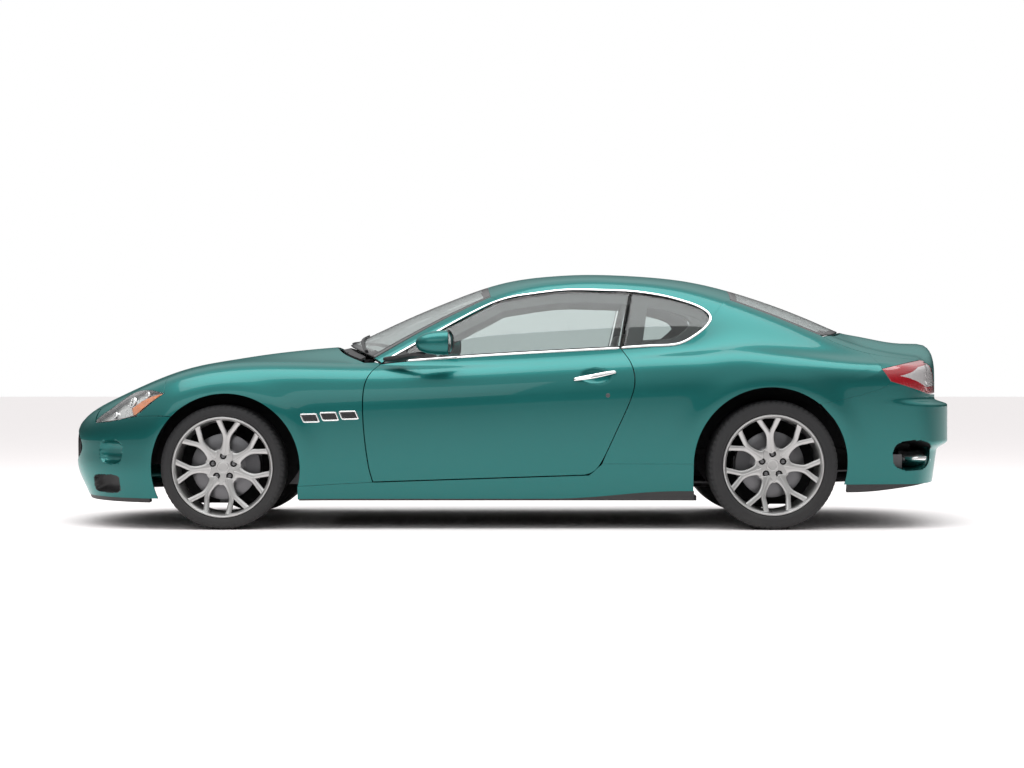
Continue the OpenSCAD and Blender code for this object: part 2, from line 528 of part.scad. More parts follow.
module box(a, b) { translate(a) cube(b - a); }
module body_frame() {
    color([0.16, 0.17, 0.17]) {
        difference() {
            union() {
                box([-1060, -door_inner, 150], [1000, door_inner, 176]);
                box([-1060, -150, 150], [1000, 150, 330]);
                box([-1072, -740, 150], [-1052, 740, 820]);
                box([-1060, -690, 800], [-740, 690, 820]);
                box([940, -700, 150], [965, 700, 420]);
                box([940, -575, 395], [1900, 575, 420]);
                box([1890, -550, 395], [2200, 550, 420]);
                for (s = [-1, 1]) {
                    box([-2190, s * 435 - 35, 380], [-1060, s * 435 + 35, 500]);
                    box([940, s * 435 - 35, 300], [2200, s * 435 + 35, 420]);
                    box([-760, s * 740 - 20, 160], [-640, s * 740 + 20, 790]);
                    for (z = hinge_heights) {
                        box([hinge[0] - 8, min(s * 750, s * 890), z - 10], [hinge[0] + 8, max(s * 750, s * 890), z + 10]);
                        translate([hinge[0], s * 890, z - 25]) cylinder(r = pin_r, h = 50);
                    }
                    box([-800, s * 616 - 7, 815], [-752, s * 616 + 7, 912]);
                    translate([hood_pivot[0], s * 636, hood_pivot[1]]) rotate([90, 0, 0]) cylinder(r = pin_r, h = 34, center = true);
                    box([1646, s * 567 - 8, 410], [1674, s * 567 + 8, 1029]);
                    translate([lid_pivot[0], s * 576, lid_pivot[1]]) rotate([90, 0, 0]) cylinder(r = pin_r, h = 34, center = true);
                    box([700, s * 760 - 20, 160], [780, s * 760 + 20, 900]);
                }
            }
            box([-1100, -120, 140], [1100, 120, 300]);
        }
    }
}
module wheel_liner(hub, r, y0, y1, legs) {
    translate([hub[0], 0, hub[1]]) rotate([90, 0, 0]) difference() {
        translate([0, 0, y0]) cylinder(r = r + 6, h = y1 - y0);
        translate([0, 0, y0 + 5]) cylinder(r = r, h = y1 - y0);
        translate([-r - 50, -r - 50, y0 - 1]) cube([2 * r + 100, r + 50 + legs, y1 - y0 + 2]);
        translate([-70, -60, y0 - 1]) cube([140, 300, 20]);
    }
}
module wheel_liners() {
    color(black) both_sides() {
        wheel_liner(front_hub, 425, 470.3, 840, 0);
        wheel_liner(rear_hub, 425, 575.3, 865, 80);
    }
}
module wiper(y0, y1) {
    n = 10;
    grid = [for (k = [0:1]) [for (j = [0:n]) let (y = y0 + (y1 - y0) * j / n) hit("top", -738 - 175 * (1 - pow(y / 700, 2)) + 16 * k + 90 * j / n, y)]];
    plate(sunk(grid, -11), sunk(grid, -0.8));
}
module wipers() {
    color(black) {
        wiper(-560, -20);
        wiper(40, 560);
    }
}
wheel_seat = [-330, -380, 835];
module on_column() { translate(wheel_seat) rotate([0, 65, 0]) children(); }
module dashboard() {
    color([0.2, 0.2, 0.2]) {
        difference() {
            union() {
                hull() {
                    box([-739.7, -590, 802], [-700, 590, 890]);
                    box([-640, -690, 560], [-450, 690, 860]);
                }
                box([-560, -110, 330.3], [-440, 110, 600]);
                box([-520, -120, 330.3], [660, 120, 520]);
            }
            box([-900, -800, 400], [-570, 800, 700]);
        }
        on_column() translate([0, 0, -170]) cylinder(r = 26, h = 169.7);
    }
}
module seat() {
    hull() {
        box([-60, -245, 240], [420, 245, 330]);
        box([-30, -225, 330], [420, 225, 400]);
    }
    hull() {
        box([400, -235, 260], [500, 235, 300]);
        box([560, -215, 840], [650, 215, 880]);
    }
    hull() {
        box([600, -135, 920], [670, 135, 940]);
        box([640, -120, 1060], [700, 120, 1080]);
    }
    for (s = [-1, 1]) {
        box([620, s * 60 - 7, 860], [640, s * 60 + 7, 940]);
        box([0, s * 190 - 15, 176.3], [400, s * 190 + 15, 250]);
    }
}
module front_seats() { color([0.35, 0.33, 0.3]) for (s = [-1, 1]) translate([0, 400 * s, 0]) seat(); }
module rear_seats() {
    color([0.35, 0.33, 0.3]) {
        hull() {
            box([800, -560, 420.3], [1240, 560, 500]);
            box([820, -540, 500], [1220, 540, 540]);
        }
        hull() {
            box([1180, -550, 440], [1290, 550, 480]);
            box([1350, -520, 960], [1430, 520, 980]);
        }
    }
}
module engine() { color(silver) box([-1750, -300, 214.3], [-1100, 300, 760]); }
module exhaust() {
    color(silver) both_sides() {
        translate([2120, -600, 372]) rotate([0, 90, 0]) difference() {
            cylinder(r = 42, h = 160);
            translate([0, 0, 30]) cylinder(r = 37, h = 160);
        }
        box([1860, -690, 240], [2125, -480, 394.7]);
        translate([-1000, -60, 215]) rotate([0, 90, 0]) cylinder(r = 28, h = 2150);
        hull() {
            translate([1130, -60, 215]) rotate([0, 90, 0]) cylinder(r = 28, h = 20);
            translate([1850, -540, 269]) rotate([0, 90, 0]) cylinder(r = 28, h = 20);
        }
    }
}
kingpin_y = 700;
module upright(y_pin) {
    w = front_half_track - y_pin;
    rotate([90, 0, 0]) translate([0, 0, -w + 16]) cylinder(r = spindle_r, h = w + 8);
    box([-45, w - 22, -60], [45, w + 30, 60]);
}
module caliper(angle) {
    rotate([90, 0, 0]) rotate([0, 0, angle]) difference() {
        translate([0, 0, -42]) cylinder(r = disc_r + 16, h = 77);
        translate([0, 0, -43]) cylinder(r = 118, h = 80);
        translate([0, 0, -20]) cylinder(r = disc_r + 5, h = 38);
        rotate([0, 0, 28]) translate([-300, 0, -50]) cube([600, 300, 100]);
        rotate([0, 0, -28]) translate([-300, -300, -50]) cube([600, 300, 100]);
        translate([-300, -300, -50]) cube([300, 600, 100]);
    }
}
module knuckle() {
    w = front_half_track - kingpin_y;
    difference() {
        union() {
            upright(kingpin_y);
            box([-30, w - 22, -175], [30, w + 22, 175]);
            box([0, w - 22, -20], [190, w + 14, 20]);
            box([120, 30, -60], [190, w + 14, 60]);
            caliper(0);
        }
        translate([0, w, -180]) cylinder(r = kingpin_r + 0.05, h = 40);
        translate([0, w, 140]) cylinder(r = kingpin_r + 0.05, h = 40);
    }
}
module front_suspension() {
    z = front_hub[1];
    color(silver) translate([-front_axle, 0, 0]) {
        box([-60, -390, z - 190], [60, 390, z - 120]);
        both_sides() {
            box([-35, -kingpin_y - 25, z - 200], [35, -380, z - 176]);
            translate([0, -kingpin_y, z - 180]) cylinder(r = kingpin_r, h = 38);
            box([-35, -kingpin_y - 25, z + 176], [35, -470, z + 196]);
            translate([0, -kingpin_y, z + 142]) cylinder(r = kingpin_r, h = 40);
            box([-40, -469.9, z - 190], [40, -380, z + 45.7]);
        }
    }
}
module rear_suspension() {
    z = rear_hub[1];
    color(silver) translate([rear_axle, 0, z]) both_sides() {
        box([-40, -680, -100], [40, -640, 100]);
        rotate([90, 0, 0]) translate([0, 0, 660]) cylinder(r = spindle_r, h = rear_half_track - 660 + 24);
        box([-30, -650, -90], [30, -400, -64]);
        box([-30, -470, -90], [30, -400, -46.3]);
        box([-30, -650, 24], [30, -470.3, 46]);
        box([-200, -680, -20], [-30, -650, 20]);
        box([-200, -770, -40], [-130, -650, 40]);
        translate([0, -rear_half_track, 0]) caliper(180);
    }
}
module boot_liner() {
    color(black) difference() {
        union() {
            box([1500, -555, 420.3], [2190, 555, 800]);
            box([1440, -555, 930], [1660, 555, 942]);
            box([1500, -555, 790], [1520, 555, 935]);
        }
        box([1510, -545, 430], [2180, 545, 810]);
    }
}

// ---- Wheels ----

module tyre(r, w) {
    b = rim_r - 16;
    rotate([90, 0, 0]) rotate_extrude() polygon([[b, -w / 2 + 12], [rim_r + 2, -w / 2 + 10], [rim_r + 26, -w / 2], [r - 26, -w / 2 + 2],
        [r - 7, -w / 2 + 16], [r, -w / 2 + 40], [r, w / 2 - 40], [r - 7, w / 2 - 16], [r - 26, w / 2 - 2], [rim_r + 26, w / 2],
        [rim_r + 2, w / 2 - 10], [b, w / 2 - 12]]);
}
module rim(w) {
    b = rim_r - 16.3;
    o = w / 2 - 11.7;
    rotate([90, 0, 0]) {
        difference() {
            union() {
                rotate_extrude() polygon([[b - 12, -o - 6], [rim_r, -o - 8], [rim_r, -o - 2.3], [b, -o], [b, o], [rim_r, o + 2.3],
                    [rim_r, o + 8], [b - 14, o + 8], [b - 12, o]]);
                translate([0, 0, 30.1]) cylinder(r = 80, h = 42);
                for (i = [0:6]) rotate([0, 0, 90 + i * 360 / 7]) {
                    translate([60, -17, 46]) cube([100, 34, 34]);
                    for (k = [-1, 1]) translate([150, 0, 50]) rotate([0, 0, k * 9]) translate([0, -11, 0]) cube([b - 158, 22, 32]);
                }
            }
            for (i = [0:4]) rotate([0, 0, 90 + i * 72]) translate([bolt_circle_r, 0, 0]) cylinder(r = 9, h = 120);
            translate([0, 0, 20]) cylinder(r = 34, h = 40);
        }
    }
}
module disc() {
    rotate([90, 0, 0]) difference() {
        union() {
            translate([0, 0, -15]) cylinder(r = disc_r, h = 28);
            cylinder(r = 78, h = 30);
        }
        translate([0, 0, -20]) cylinder(r = spindle_r + 0.05, h = 60);
    }
}
module at_wheel(front, left) {
    translate([front ? front_hub[0] : rear_hub[0], (left ? -1 : 1) * (front ? front_half_track : rear_half_track),
        front ? front_hub[1] : rear_hub[1]]) mirror([0, left ? 0 : 1, 0]) children();
}
module steering_wheel() {
    color(black) translate([-330, -380, 835]) rotate([0, 65, 0]) {
        rotate_extrude() translate([175, 0]) circle(r = 14);
        cylinder(r = 45, h = 30);
        for (a = [-90, 0, 90]) rotate([0, 0, a]) translate([30, -12, 4]) cube([140, 24, 12]);
    }
}

body_frame();
front_bumper();
grille();
front_fenders();
rear_quarters();
rear_bumper();
sills();
roof();
a_pillars();
windscreen();
rear_window();
quarter_windows();
headlamps();
tail_lamps();
wheel_liners();
cowl();
wipers();
dashboard();
front_seats();
rear_seats();
engine();
exhaust();
front_suspension();
rear_suspension();
boot_liner();
color(paint) door_panel();  // door_left
color(paint) mirror([0, 1, 0]) door_panel();  // door_right
color(clear) door_glass();  // door_glass_left
color(clear) mirror([0, 1, 0]) door_glass();  // door_glass_right
color(paint) door_mirror();  // mirror_left
color(paint) mirror([0, 1, 0]) door_mirror();  // mirror_right
hood();
trunk_lid();
steering_wheel();
for (left = [true, false]) {
    side = left ? "left" : "right";
    color(silver) at_wheel(true, left) knuckle();
    color(black) at_wheel(true, left) tyre(front_tyre_r, front_tyre_w);
    color(silver) at_wheel(true, left) rim(front_tyre_w);
    color(silver) at_wheel(true, left) disc();
    color(black) at_wheel(false, left) tyre(rear_tyre_r, rear_tyre_w);
    color(silver) at_wheel(false, left) rim(rear_tyre_w);
    color(silver) at_wheel(false, left) disc();
}
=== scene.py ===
"""Looks of a two-door coupe car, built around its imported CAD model.

Lengths are worked out in millimetres, in the row frame: -X to the nose, -Y to the
car's left, +Z up.  mesh_piece() turns them into metres.
"""
import math

import bpy
import numpy as np
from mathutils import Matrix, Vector


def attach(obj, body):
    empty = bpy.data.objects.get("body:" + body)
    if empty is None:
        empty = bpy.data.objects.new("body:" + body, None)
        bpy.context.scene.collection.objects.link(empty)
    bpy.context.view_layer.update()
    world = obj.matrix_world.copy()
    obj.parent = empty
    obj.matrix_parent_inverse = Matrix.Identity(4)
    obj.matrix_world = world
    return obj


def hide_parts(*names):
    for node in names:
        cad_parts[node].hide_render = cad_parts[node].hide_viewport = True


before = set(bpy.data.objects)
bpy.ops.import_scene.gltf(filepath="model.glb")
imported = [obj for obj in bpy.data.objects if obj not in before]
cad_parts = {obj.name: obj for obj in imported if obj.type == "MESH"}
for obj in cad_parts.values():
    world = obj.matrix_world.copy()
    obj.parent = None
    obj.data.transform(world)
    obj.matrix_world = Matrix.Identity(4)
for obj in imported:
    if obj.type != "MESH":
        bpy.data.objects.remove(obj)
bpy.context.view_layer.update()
MM = 0.001

# ---------------------------------------------------------------- driving sizes
FRONT_HUB = np.array([-1542.0, 334.0])
REAR_HUB = np.array([1400.0, 346.0])
FRONT_ARCH, FRONT_ARCH_R = FRONT_HUB + [15, -4], 398
REAR_ARCH, REAR_ARCH_R = REAR_HUB + [-12, 4], 412
GAP = 5.0          # shut lines of the doors and lids
SEAM = 0.7         # seams between fixed panels
SKIN = 9.0
FINE = 3           # points between two points of the CAD model's outlines


# ---------------------------------------------------------------- body surface
def spline(x, start, step, control):
    """Uniform cubic B-spline: control value k stands at start + k * step."""
    c = np.array(control, float)
    u = np.clip((x - start) / step - 1, 0, len(c) - 3.001)
    i = np.floor(u).astype(int)
    t = u - i
    r = 1 - t
    return (r**3 * c[i] + (3 * t**3 - 6 * t * t + 4) * c[i + 1]
            + (3 * r**3 - 6 * r * r + 4) * c[i + 2] + t**3 * c[i + 3]) / 6


def soft_max(a, b, k):
    """Larger of two values, rounded over about k."""
    return np.maximum(a, b) + k * np.log1p(np.exp(-abs(a - b) / k))


def soft_min(a, b, k):
    """Smaller of two values, rounded over about k."""
    return np.minimum(a, b) - k * np.log1p(np.exp(-abs(a - b) / k))


def ease(t):
    """Smooth step from 0 to 1 with no kink in its curvature."""
    u = np.clip(t, 0, 1)
    return u**3 * (u * (6 * u - 15) + 10)


def mid_height(x):
    """Height of bonnet and boot lid on the centreline."""
    return spline(x, -2600, 200, [
        500, 620, 712, 807, 877, 908, 943, 966, 985, 993, 990, 980, 975, 970, 970, 980,
        990, 1000, 1015, 1030, 1045, 1062, 1072, 1046, 996, 1014, 1030])


def crest_height(x):
    """Height of the crest of wings and shoulders."""
    return spline(x, -2600, 200, [
        480, 590, 680, 772, 856, 900, 912, 910, 906, 900, 903, 910, 919, 930, 943, 956,
        968, 979, 985, 984, 972, 950, 928, 915, 908, 900, 890])


def half_width(x):
    """Half width of the body at its widest height."""
    return spline(x, -2600, 200, [
        880, 895, 905, 915, 925, 926, 927, 921, 914, 912, 914, 918, 920, 922, 924, 926,
        930, 935, 941, 945, 947, 946, 938, 920, 897, 872, 850])


def arch_flare(x, z, hub, r):
    """Swelling of the flank in a ring around a wheel arch."""
    d = np.hypot(x - hub[0], z - hub[1]) - r - 25
    return 9 * np.exp(-d * d / 5000)


def side_wall(x, z):
    """Half width of the flank at a length and height."""
    u = z - (712 + 0.06 * x)
    lean = np.where(u > 0, 0.05 * u + 0.0006 * u * u, 0.00022 * u * u)
    return (half_width(x) - lean + arch_flare(x, z, FRONT_ARCH, FRONT_ARCH_R)
            + arch_flare(x, z, REAR_ARCH, REAR_ARCH_R))


def top_wall(x, y):
    """Height of the upper side of the lower body: centreline eased into the crest."""
    m = mid_height(x)
    return m + (crest_height(x) - m) * ease(abs(y) / 760) - 30 * (abs(y) / 900)**4


def nose_wall(y, z):
    """Front face, bowed in plan."""
    q = y * y / 1e6
    return spline(z, -100, 100, [
        -2300, -2330, -2366, -2404, -2458, -2456, -2462, -2440, -2376, -2280, -2180,
        -2080, -1980]) + 240 * q + 400 * q * q


def tail_wall(y, z):
    """Rear face, bowed in plan, with its step under the lamps and its undercut."""
    q = y * y / 1e6
    return (2378 + 72 * ease((700 - z) / 40) - 60 * ease((470 - z) / 60)
            - 0.14 * np.maximum(0, 420 - z) - 100 * q - 260 * q * q)


def lower_body(x, y, z):
    """Lower body: flank, top, front and rear walls, rounded into each other."""
    soft = spline(x, -2600, 400, [60, 60, 62, 60, 55, 55, 55, 55, 60, 60, 50, 35, 25, 25])
    h = soft_max(abs(y) - side_wall(x, z), z - top_wall(x, y), soft)
    front = soft_max(h, nose_wall(y, z) - x, 42)
    rear = soft_max(h, x - tail_wall(y, z), 28)
    return np.where(x < -1200, front, np.where(x > 1500, rear, h))


def roof_height(x):
    """Windscreen, roof and rear window on the centreline."""
    return spline(x, -1400, 150, [
        770, 840, 910, 978, 1048, 1119, 1186, 1246, 1305, 1352, 1378, 1391, 1399, 1397,
        1390, 1379, 1361, 1329, 1287, 1238, 1183, 1120, 1052, 990, 930, 870, 810])


def cabin(x, y, z):
    """Cabin: leaning sides and a bowed roof, rounded into each other."""
    e = np.exp((x - 450) / 250)
    q = y * y / 1e6
    top = roof_height(x + 330 * (e - 1) / (e + 1) * q) - 160 * q
    belt = spline(x, -1200, 300, [868, 872, 874, 888, 908, 927, 946, 962, 975, 980, 980,
                                  980, 980, 980])
    width = spline(x, -1200, 300, [720, 750, 782, 806, 820, 825, 822, 806, 775, 730, 668,
                                   600, 540, 480])
    u = z - belt
    v = np.maximum(u, -60)
    side = width - 0.44 * v - 0.0004 * v * abs(v) - 0.5 * np.maximum(0, -60 - u)
    return soft_max(abs(y) - side, z - top, 26)


def body(x, y, z):
    """The whole car's outside as a signed field: 0 on the surface, negative inside."""
    x, y, z = [np.asarray(v, float) for v in np.broadcast_arrays(x, y, z)]
    low = lower_body(x, y, z)
    blend = 8 + 50 * ease((x - 850) / 500) * ease((abs(y) - 350) / 250)
    return np.where((x > -1100) & (x < 2250), soft_min(low, cabin(x, y, z), blend), low)


def normals(p, step=1.5):
    """Outward unit normals of the body at points on it: the field's gradient."""
    x, y, z = p[..., 0], p[..., 1], p[..., 2]
    g = np.stack([body(x + step, y, z) - body(x - step, y, z),
                  body(x, y + step, z) - body(x, y - step, z),
                  body(x, y, z + step) - body(x, y, z - step)], -1)
    return g / np.linalg.norm(g, axis=-1, keepdims=True)


BARREL_Y, BARREL_Z, NOSE_POLE, TAIL_POLE, LID_X, LID_Z = 480, 470, -1650, 1750, 1900, 640


def hit(kind, a, b):
    """Where a ray meets the body.  kind names the family of rays, a and b pick one."""
    a, b = [np.asarray(v, float) for v in np.broadcast_arrays(a, b)]
    n, c, s = 0 * a, np.cos(np.radians(b)), np.sin(np.radians(b))
    ca, sa = np.cos(np.radians(a)), np.sin(np.radians(a))
    o, d, lo, hi = {
        "side": ((a, n, b), (n, n - 1, n), 200, 1150),
        "top": ((a, b, n), (n, n, n + 1), 560, 1500),
        "barrel": ((a, n - BARREL_Y, n + BARREL_Z), (n, -c, s), 30, 900),
        "roof": ((a, n, n + 700), (n, c, s), 60, 1100),
        "lid": ((n + LID_X, a, n + LID_Z), (c, n, s), 60, 900),
        "nose": ((n + NOSE_POLE, n, b), (-ca, -sa, n), 100, 1200),
        "tail": ((n + TAIL_POLE, n, b), (ca, -sa, n), 100, 1200)}[kind]
    o, d = np.stack(o, -1), np.stack(d, -1)
    lo, hi = n + lo, n + hi
    for _ in range(32):
        m = (lo + hi) / 2
        p = o + m[..., None] * d
        inside = body(p[..., 0], p[..., 1], p[..., 2]) < 0
        lo, hi = np.where(inside, m, lo), np.where(inside, hi, m)
    return o + ((lo + hi) / 2)[..., None] * d


def unray(kind, p):
    """The two ray coordinates of points on the body."""
    x, y, z = p[..., 0], p[..., 1], p[..., 2]
    deg = lambda v, w: np.degrees(np.arctan2(v, w))
    return np.stack({
        "side": (x, z), "top": (x, y), "barrel": (x, deg(z - BARREL_Z, -y - BARREL_Y)),
        "roof": (x, deg(z - 700, y)), "lid": (y, deg(z - LID_Z, x - LID_X)),
        "nose": (deg(-y, NOSE_POLE - x), z), "tail": (deg(-y, x - TAIL_POLE), z)}[kind], -1)


# ---------------------------------------------------------------- outlines
def bend(points, n):
    """n + 1 points on a Catmull-Rom curve through a list of points."""
    p = np.array(points, float)
    u = np.arange(n + 1) * (len(p) - 1) / n
    k = np.minimum(np.floor(u).astype(int), len(p) - 2)
    t = (u - k)[:, None]
    a, b, c, d = (p[np.clip(k + i, 0, len(p) - 1)] for i in (-1, 0, 1, 2))
    return 0.5 * (2 * b + (c - a) * t + (2 * a - 5 * b + 4 * c - d) * t * t
                  + (3 * b - a - 3 * c + d) * t**3)


def fine(points, n):
    """A curve of the CAD model with FINE times its points."""
    return bend(points, n * FINE)


def straight(a, b, n):
    """n + 1 points on the line from a to b."""
    t = np.linspace(0, 1, n + 1)[:, None]
    return np.array(a, float) * (1 - t) + np.array(b, float) * t


def arc(c, r, a0, a1, n):
    """n + 1 points on a circle from angle a0 to a1, in degrees."""
    a = np.radians(np.linspace(a0, a1, n + 1))
    return np.stack([c[0] + r * np.cos(a), c[1] + r * np.sin(a)], -1)


def on_side(p, dx=0, dz=0):
    """Outline points given by length and height, put on the left flank."""
    p = np.atleast_2d(p)
    return hit("side", p[:, 0] + dx, p[:, 1] + dz)


def on_top(p, dx=0, dy=0):
    """Outline points given by length and width, put on the top."""
    p = np.atleast_2d(p)
    return hit("top", p[:, 0] + dx, p[:, 1] + dy)


def right_of(p):
    """The same points on the right side of the car."""
    return p * [1, -1, 1]


def chain(*runs):
    """Joins runs of points that share their ends."""
    return np.concatenate([runs[0]] + [r[1:] for r in runs[1:]])


def run(kind, a, b, n=1):
    """A straight run between two surface points, in the rays' own coordinates."""
    p, q = unray(kind, a), unray(kind, b)
    t = np.linspace(0, 1, n * FINE + 1)[:, None]
    r = hit(kind, *(p + (q - p) * t).T)
    r[0], r[-1] = a, b
    return r


def even(p, n):
    """n + 1 points evenly along a run of points."""
    s = np.r_[0, np.cumsum(np.linalg.norm(np.diff(p, axis=0), axis=1))]
    t = np.linspace(0, s[-1], n + 1)
    return np.stack([np.interp(t, s, p[:, i]) for i in range(p.shape[1])], -1)


def refit(kind, p, n):
    """n + 1 points evenly along a run on the body, put back on the surface."""
    q = even(p, n)
    r = hit(kind, *unray(kind, q).T)
    r[0], r[-1] = p[0], p[-1]
    return r


def patch(kind, bottom, top, left, right):
    """Four-sided piece of the body between its edges: a Coons patch in ray coordinates."""
    b, t, l, r = (unray(kind, e) for e in (bottom, top, left, right))
    s = np.linspace(0, 1, len(b))[None, :, None]
    v = np.linspace(0, 1, len(l))[:, None, None]
    q = ((1 - v) * b[None] + v * t[None] + (1 - s) * l[:, None] + s * r[:, None]
         - (1 - s) * (1 - v) * b[0] - s * (1 - v) * b[-1] - (1 - s) * v * t[0] - s * v * t[-1])
    grid = hit(kind, q[..., 0], q[..., 1])
    grid[0], grid[-1], grid[:, 0], grid[:, -1] = bottom, top, left, right
    return grid


def sunk(grid, depth):
    """A grid moved inwards along the body's normals."""
    return grid - depth * normals(grid)


# ---------------------------------------------------------------- meshes
def quads_of(rows, cols, ring=False, start=0):
    """Corner indices of the faces of a grid of points, row by row."""
    j, i = np.meshgrid(np.arange(rows - 1), np.arange(cols if ring else cols - 1), indexing="ij")
    k = (i + 1) % cols
    return (start + np.stack([j * cols + i, j * cols + k, (j + 1) * cols + k,
                              (j + 1) * cols + i], -1)).reshape(-1, 4)


def outwards(v, f):
    """Turns a closed shell's faces outwards, by the sign of its volume."""
    a, b, c, d = (v[f[:, i]] for i in range(4))
    volume = (np.einsum("ij,ij->i", a, np.cross(b, c)) + np.einsum("ij,ij->i", a, np.cross(c, d))).sum()
    return f if volume > 0 else f[:, ::-1]


def plate(outer, inner, ring=False):
    """Closed plate between an outer and an inner grid: (points, faces).  A ring closes on itself."""
    n, w = outer.shape[:2]
    v = np.concatenate([outer.reshape(-1, 3), inner.reshape(-1, 3)])
    count = n * w
    top = quads_of(n, w, ring)
    low = quads_of(n, w, ring, count)[:, ::-1]
    i = np.arange(w)
    if ring:
        rims = [i, (n - 1) * w + i[::-1]]
    else:
        rims = [np.r_[i, np.arange(1, n) * w + w - 1, (n - 1) * w + i[-2::-1],
                      np.arange(n - 2, 0, -1) * w]]
    edge = [np.stack([np.roll(r, -1), r, r + count, np.roll(r, -1) + count], -1) for r in rims]
    return v, outwards(v, np.concatenate([top, low] + edge))


def shell(grid, depth, ring=False):
    """A plate of even thickness under a grid on the body."""
    return plate(grid, sunk(grid, depth), ring)


def mirrored(part):
    """The same shell on the other side of the car, faces turned back outwards."""
    v, f = part
    return v * [1, -1, 1], f[:, ::-1]


def together(*parts):
    """Several shells as one."""
    count, vs, fs = 0, [], []
    for v, f in parts:
        vs.append(v)
        fs.append(f + count)
        count += len(v)
    return np.concatenate(vs), np.concatenate(fs)


def swept(path, frames_u, frames_v, profile, close=False):
    """A closed profile (pairs of u, v) carried along a path; the ends are capped at a middle point."""
    p = np.asarray(path, float)
    prof = np.asarray(profile, float)
    ring = p[:, None] + frames_u[:, None] * prof[None, :, :1] + frames_v[:, None] * prof[None, :, 1:]
    n, m = ring.shape[:2]
    if close:
        ring = np.concatenate([ring, ring[:1]])
        f = quads_of(n + 1, m, True) % (n * m)
        v = ring[:-1].reshape(-1, 3)
        return v, outwards(v, f)
    v = np.concatenate([ring.reshape(-1, 3), ring[0].mean(0)[None], ring[-1].mean(0)[None]])
    i = np.arange(m)
    k = (i + 1) % m
    cap0 = np.stack([k, i, i * 0 + n * m, i * 0 + n * m], -1)
    cap1 = np.stack([(n - 1) * m + i, (n - 1) * m + k, i * 0 + n * m + 1, i * 0 + n * m + 1], -1)
    f = np.concatenate([quads_of(n, m, True), cap0, cap1])
    return v, outwards(v, f)


def rounded_box(lo, hi, n=6, power=4.0):
    """Block with soft corners: a cube's directions pushed out to a superellipsoid of the given power."""
    lo, hi = np.array(lo, float), np.array(hi, float)
    t = np.linspace(-1, 1, n * 2 + 1)
    a, b = np.meshgrid(t, t, indexing="ij")
    o = np.ones_like(a)
    sides = [np.stack(s, -1) for s in ((a, b, o), (b, a, -o), (o, a, b), (-o, b, a), (b, o, a), (a, -o, b))]
    v = np.concatenate([s.reshape(-1, 3) for s in sides])
    m = len(t)
    f = np.concatenate([quads_of(m, m, False, k * m * m) for k in range(6)])
    length = (np.abs(v)**power).sum(1)**(1 / power)
    v = v / length[:, None]
    v = (lo + hi) / 2 + v * (hi - lo) / 2
    return v, f


def mesh_piece(name, part, material, rides, replaces=(), slot=None, smooth=True, bevel=0.0,
               segments=2, weld=False, materials=None, index=None, subsurf=0):
    """Makes the object of a shell given in millimetres, hangs it on its body and hides the CAD nodes it replaces."""
    v, f = part
    mesh = bpy.data.meshes.new(name)
    mesh.vertices.add(len(v))
    mesh.vertices.foreach_set("co", (v * MM).astype(np.float32).ravel())
    tri = f[:, 2] == f[:, 3]
    sizes = np.where(tri, 3, 4)
    loops = np.concatenate([r[:k] for r, k in zip(f, sizes)]) if tri.any() else f.ravel()
    mesh.loops.add(len(loops))
    mesh.loops.foreach_set("vertex_index", loops.astype(np.int32))
    mesh.polygons.add(len(f))
    mesh.polygons.foreach_set("loop_start", np.r_[0, np.cumsum(sizes)[:-1]].astype(np.int32))
    mesh.polygons.foreach_set("loop_total", sizes.astype(np.int32))
    mesh.polygons.foreach_set("use_smooth", np.full(len(f), smooth))
    for m in (materials or [material]):
        mesh.materials.append(m)
    if index is not None:
        mesh.polygons.foreach_set("material_index", index.astype(np.int32))
    mesh.update(calc_edges=True)
    mesh.validate()
    o = bpy.data.objects.new(name, mesh)
    bpy.context.scene.collection.objects.link(o)
    if weld:
        w = o.modifiers.new("weld", "WELD")
        w.merge_threshold = 0.00005
    if bevel:
        b = o.modifiers.new("bevel", "BEVEL")
        b.width = bevel * MM
        b.segments = segments
        b.limit_method = "ANGLE"
        b.angle_limit = math.radians(50)
        b.harden_normals = True
    if subsurf:
        s = o.modifiers.new("smooth", "SUBSURF")
        s.levels = s.render_levels = subsurf
    if rides:
        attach(o, rides)
    for node in ([replaces] if isinstance(replaces, str) else replaces):
        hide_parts(node)
    return o


# ---------------------------------------------------------------- finishes
def node_group(name, inputs, outputs):
    """A shader node group with named sockets: inputs are name: (type, value), outputs name: type."""
    g = bpy.data.node_groups.new(name, "ShaderNodeTree")
    for key, (kind, value) in inputs.items():
        s = g.interface.new_socket(key, in_out="INPUT", socket_type="NodeSocket" + kind)
        s.default_value = value
    for key, kind in outputs.items():
        g.interface.new_socket(key, in_out="OUTPUT", socket_type="NodeSocket" + kind)
    a, b = g.nodes.new("NodeGroupInput"), g.nodes.new("NodeGroupOutput")
    return g, a, b


def add(tree, kind, links=None, **values):
    """Adds a node; values set its fields, links set or join its sockets."""
    n = tree.nodes.new("ShaderNode" + kind)
    for k, v in values.items():
        setattr(n, k, v)
    for k, v in (links or {}).items():
        if isinstance(v, bpy.types.NodeSocket):
            tree.links.new(v, n.inputs[k])
        else:
            n.inputs[k].default_value = v
    return n


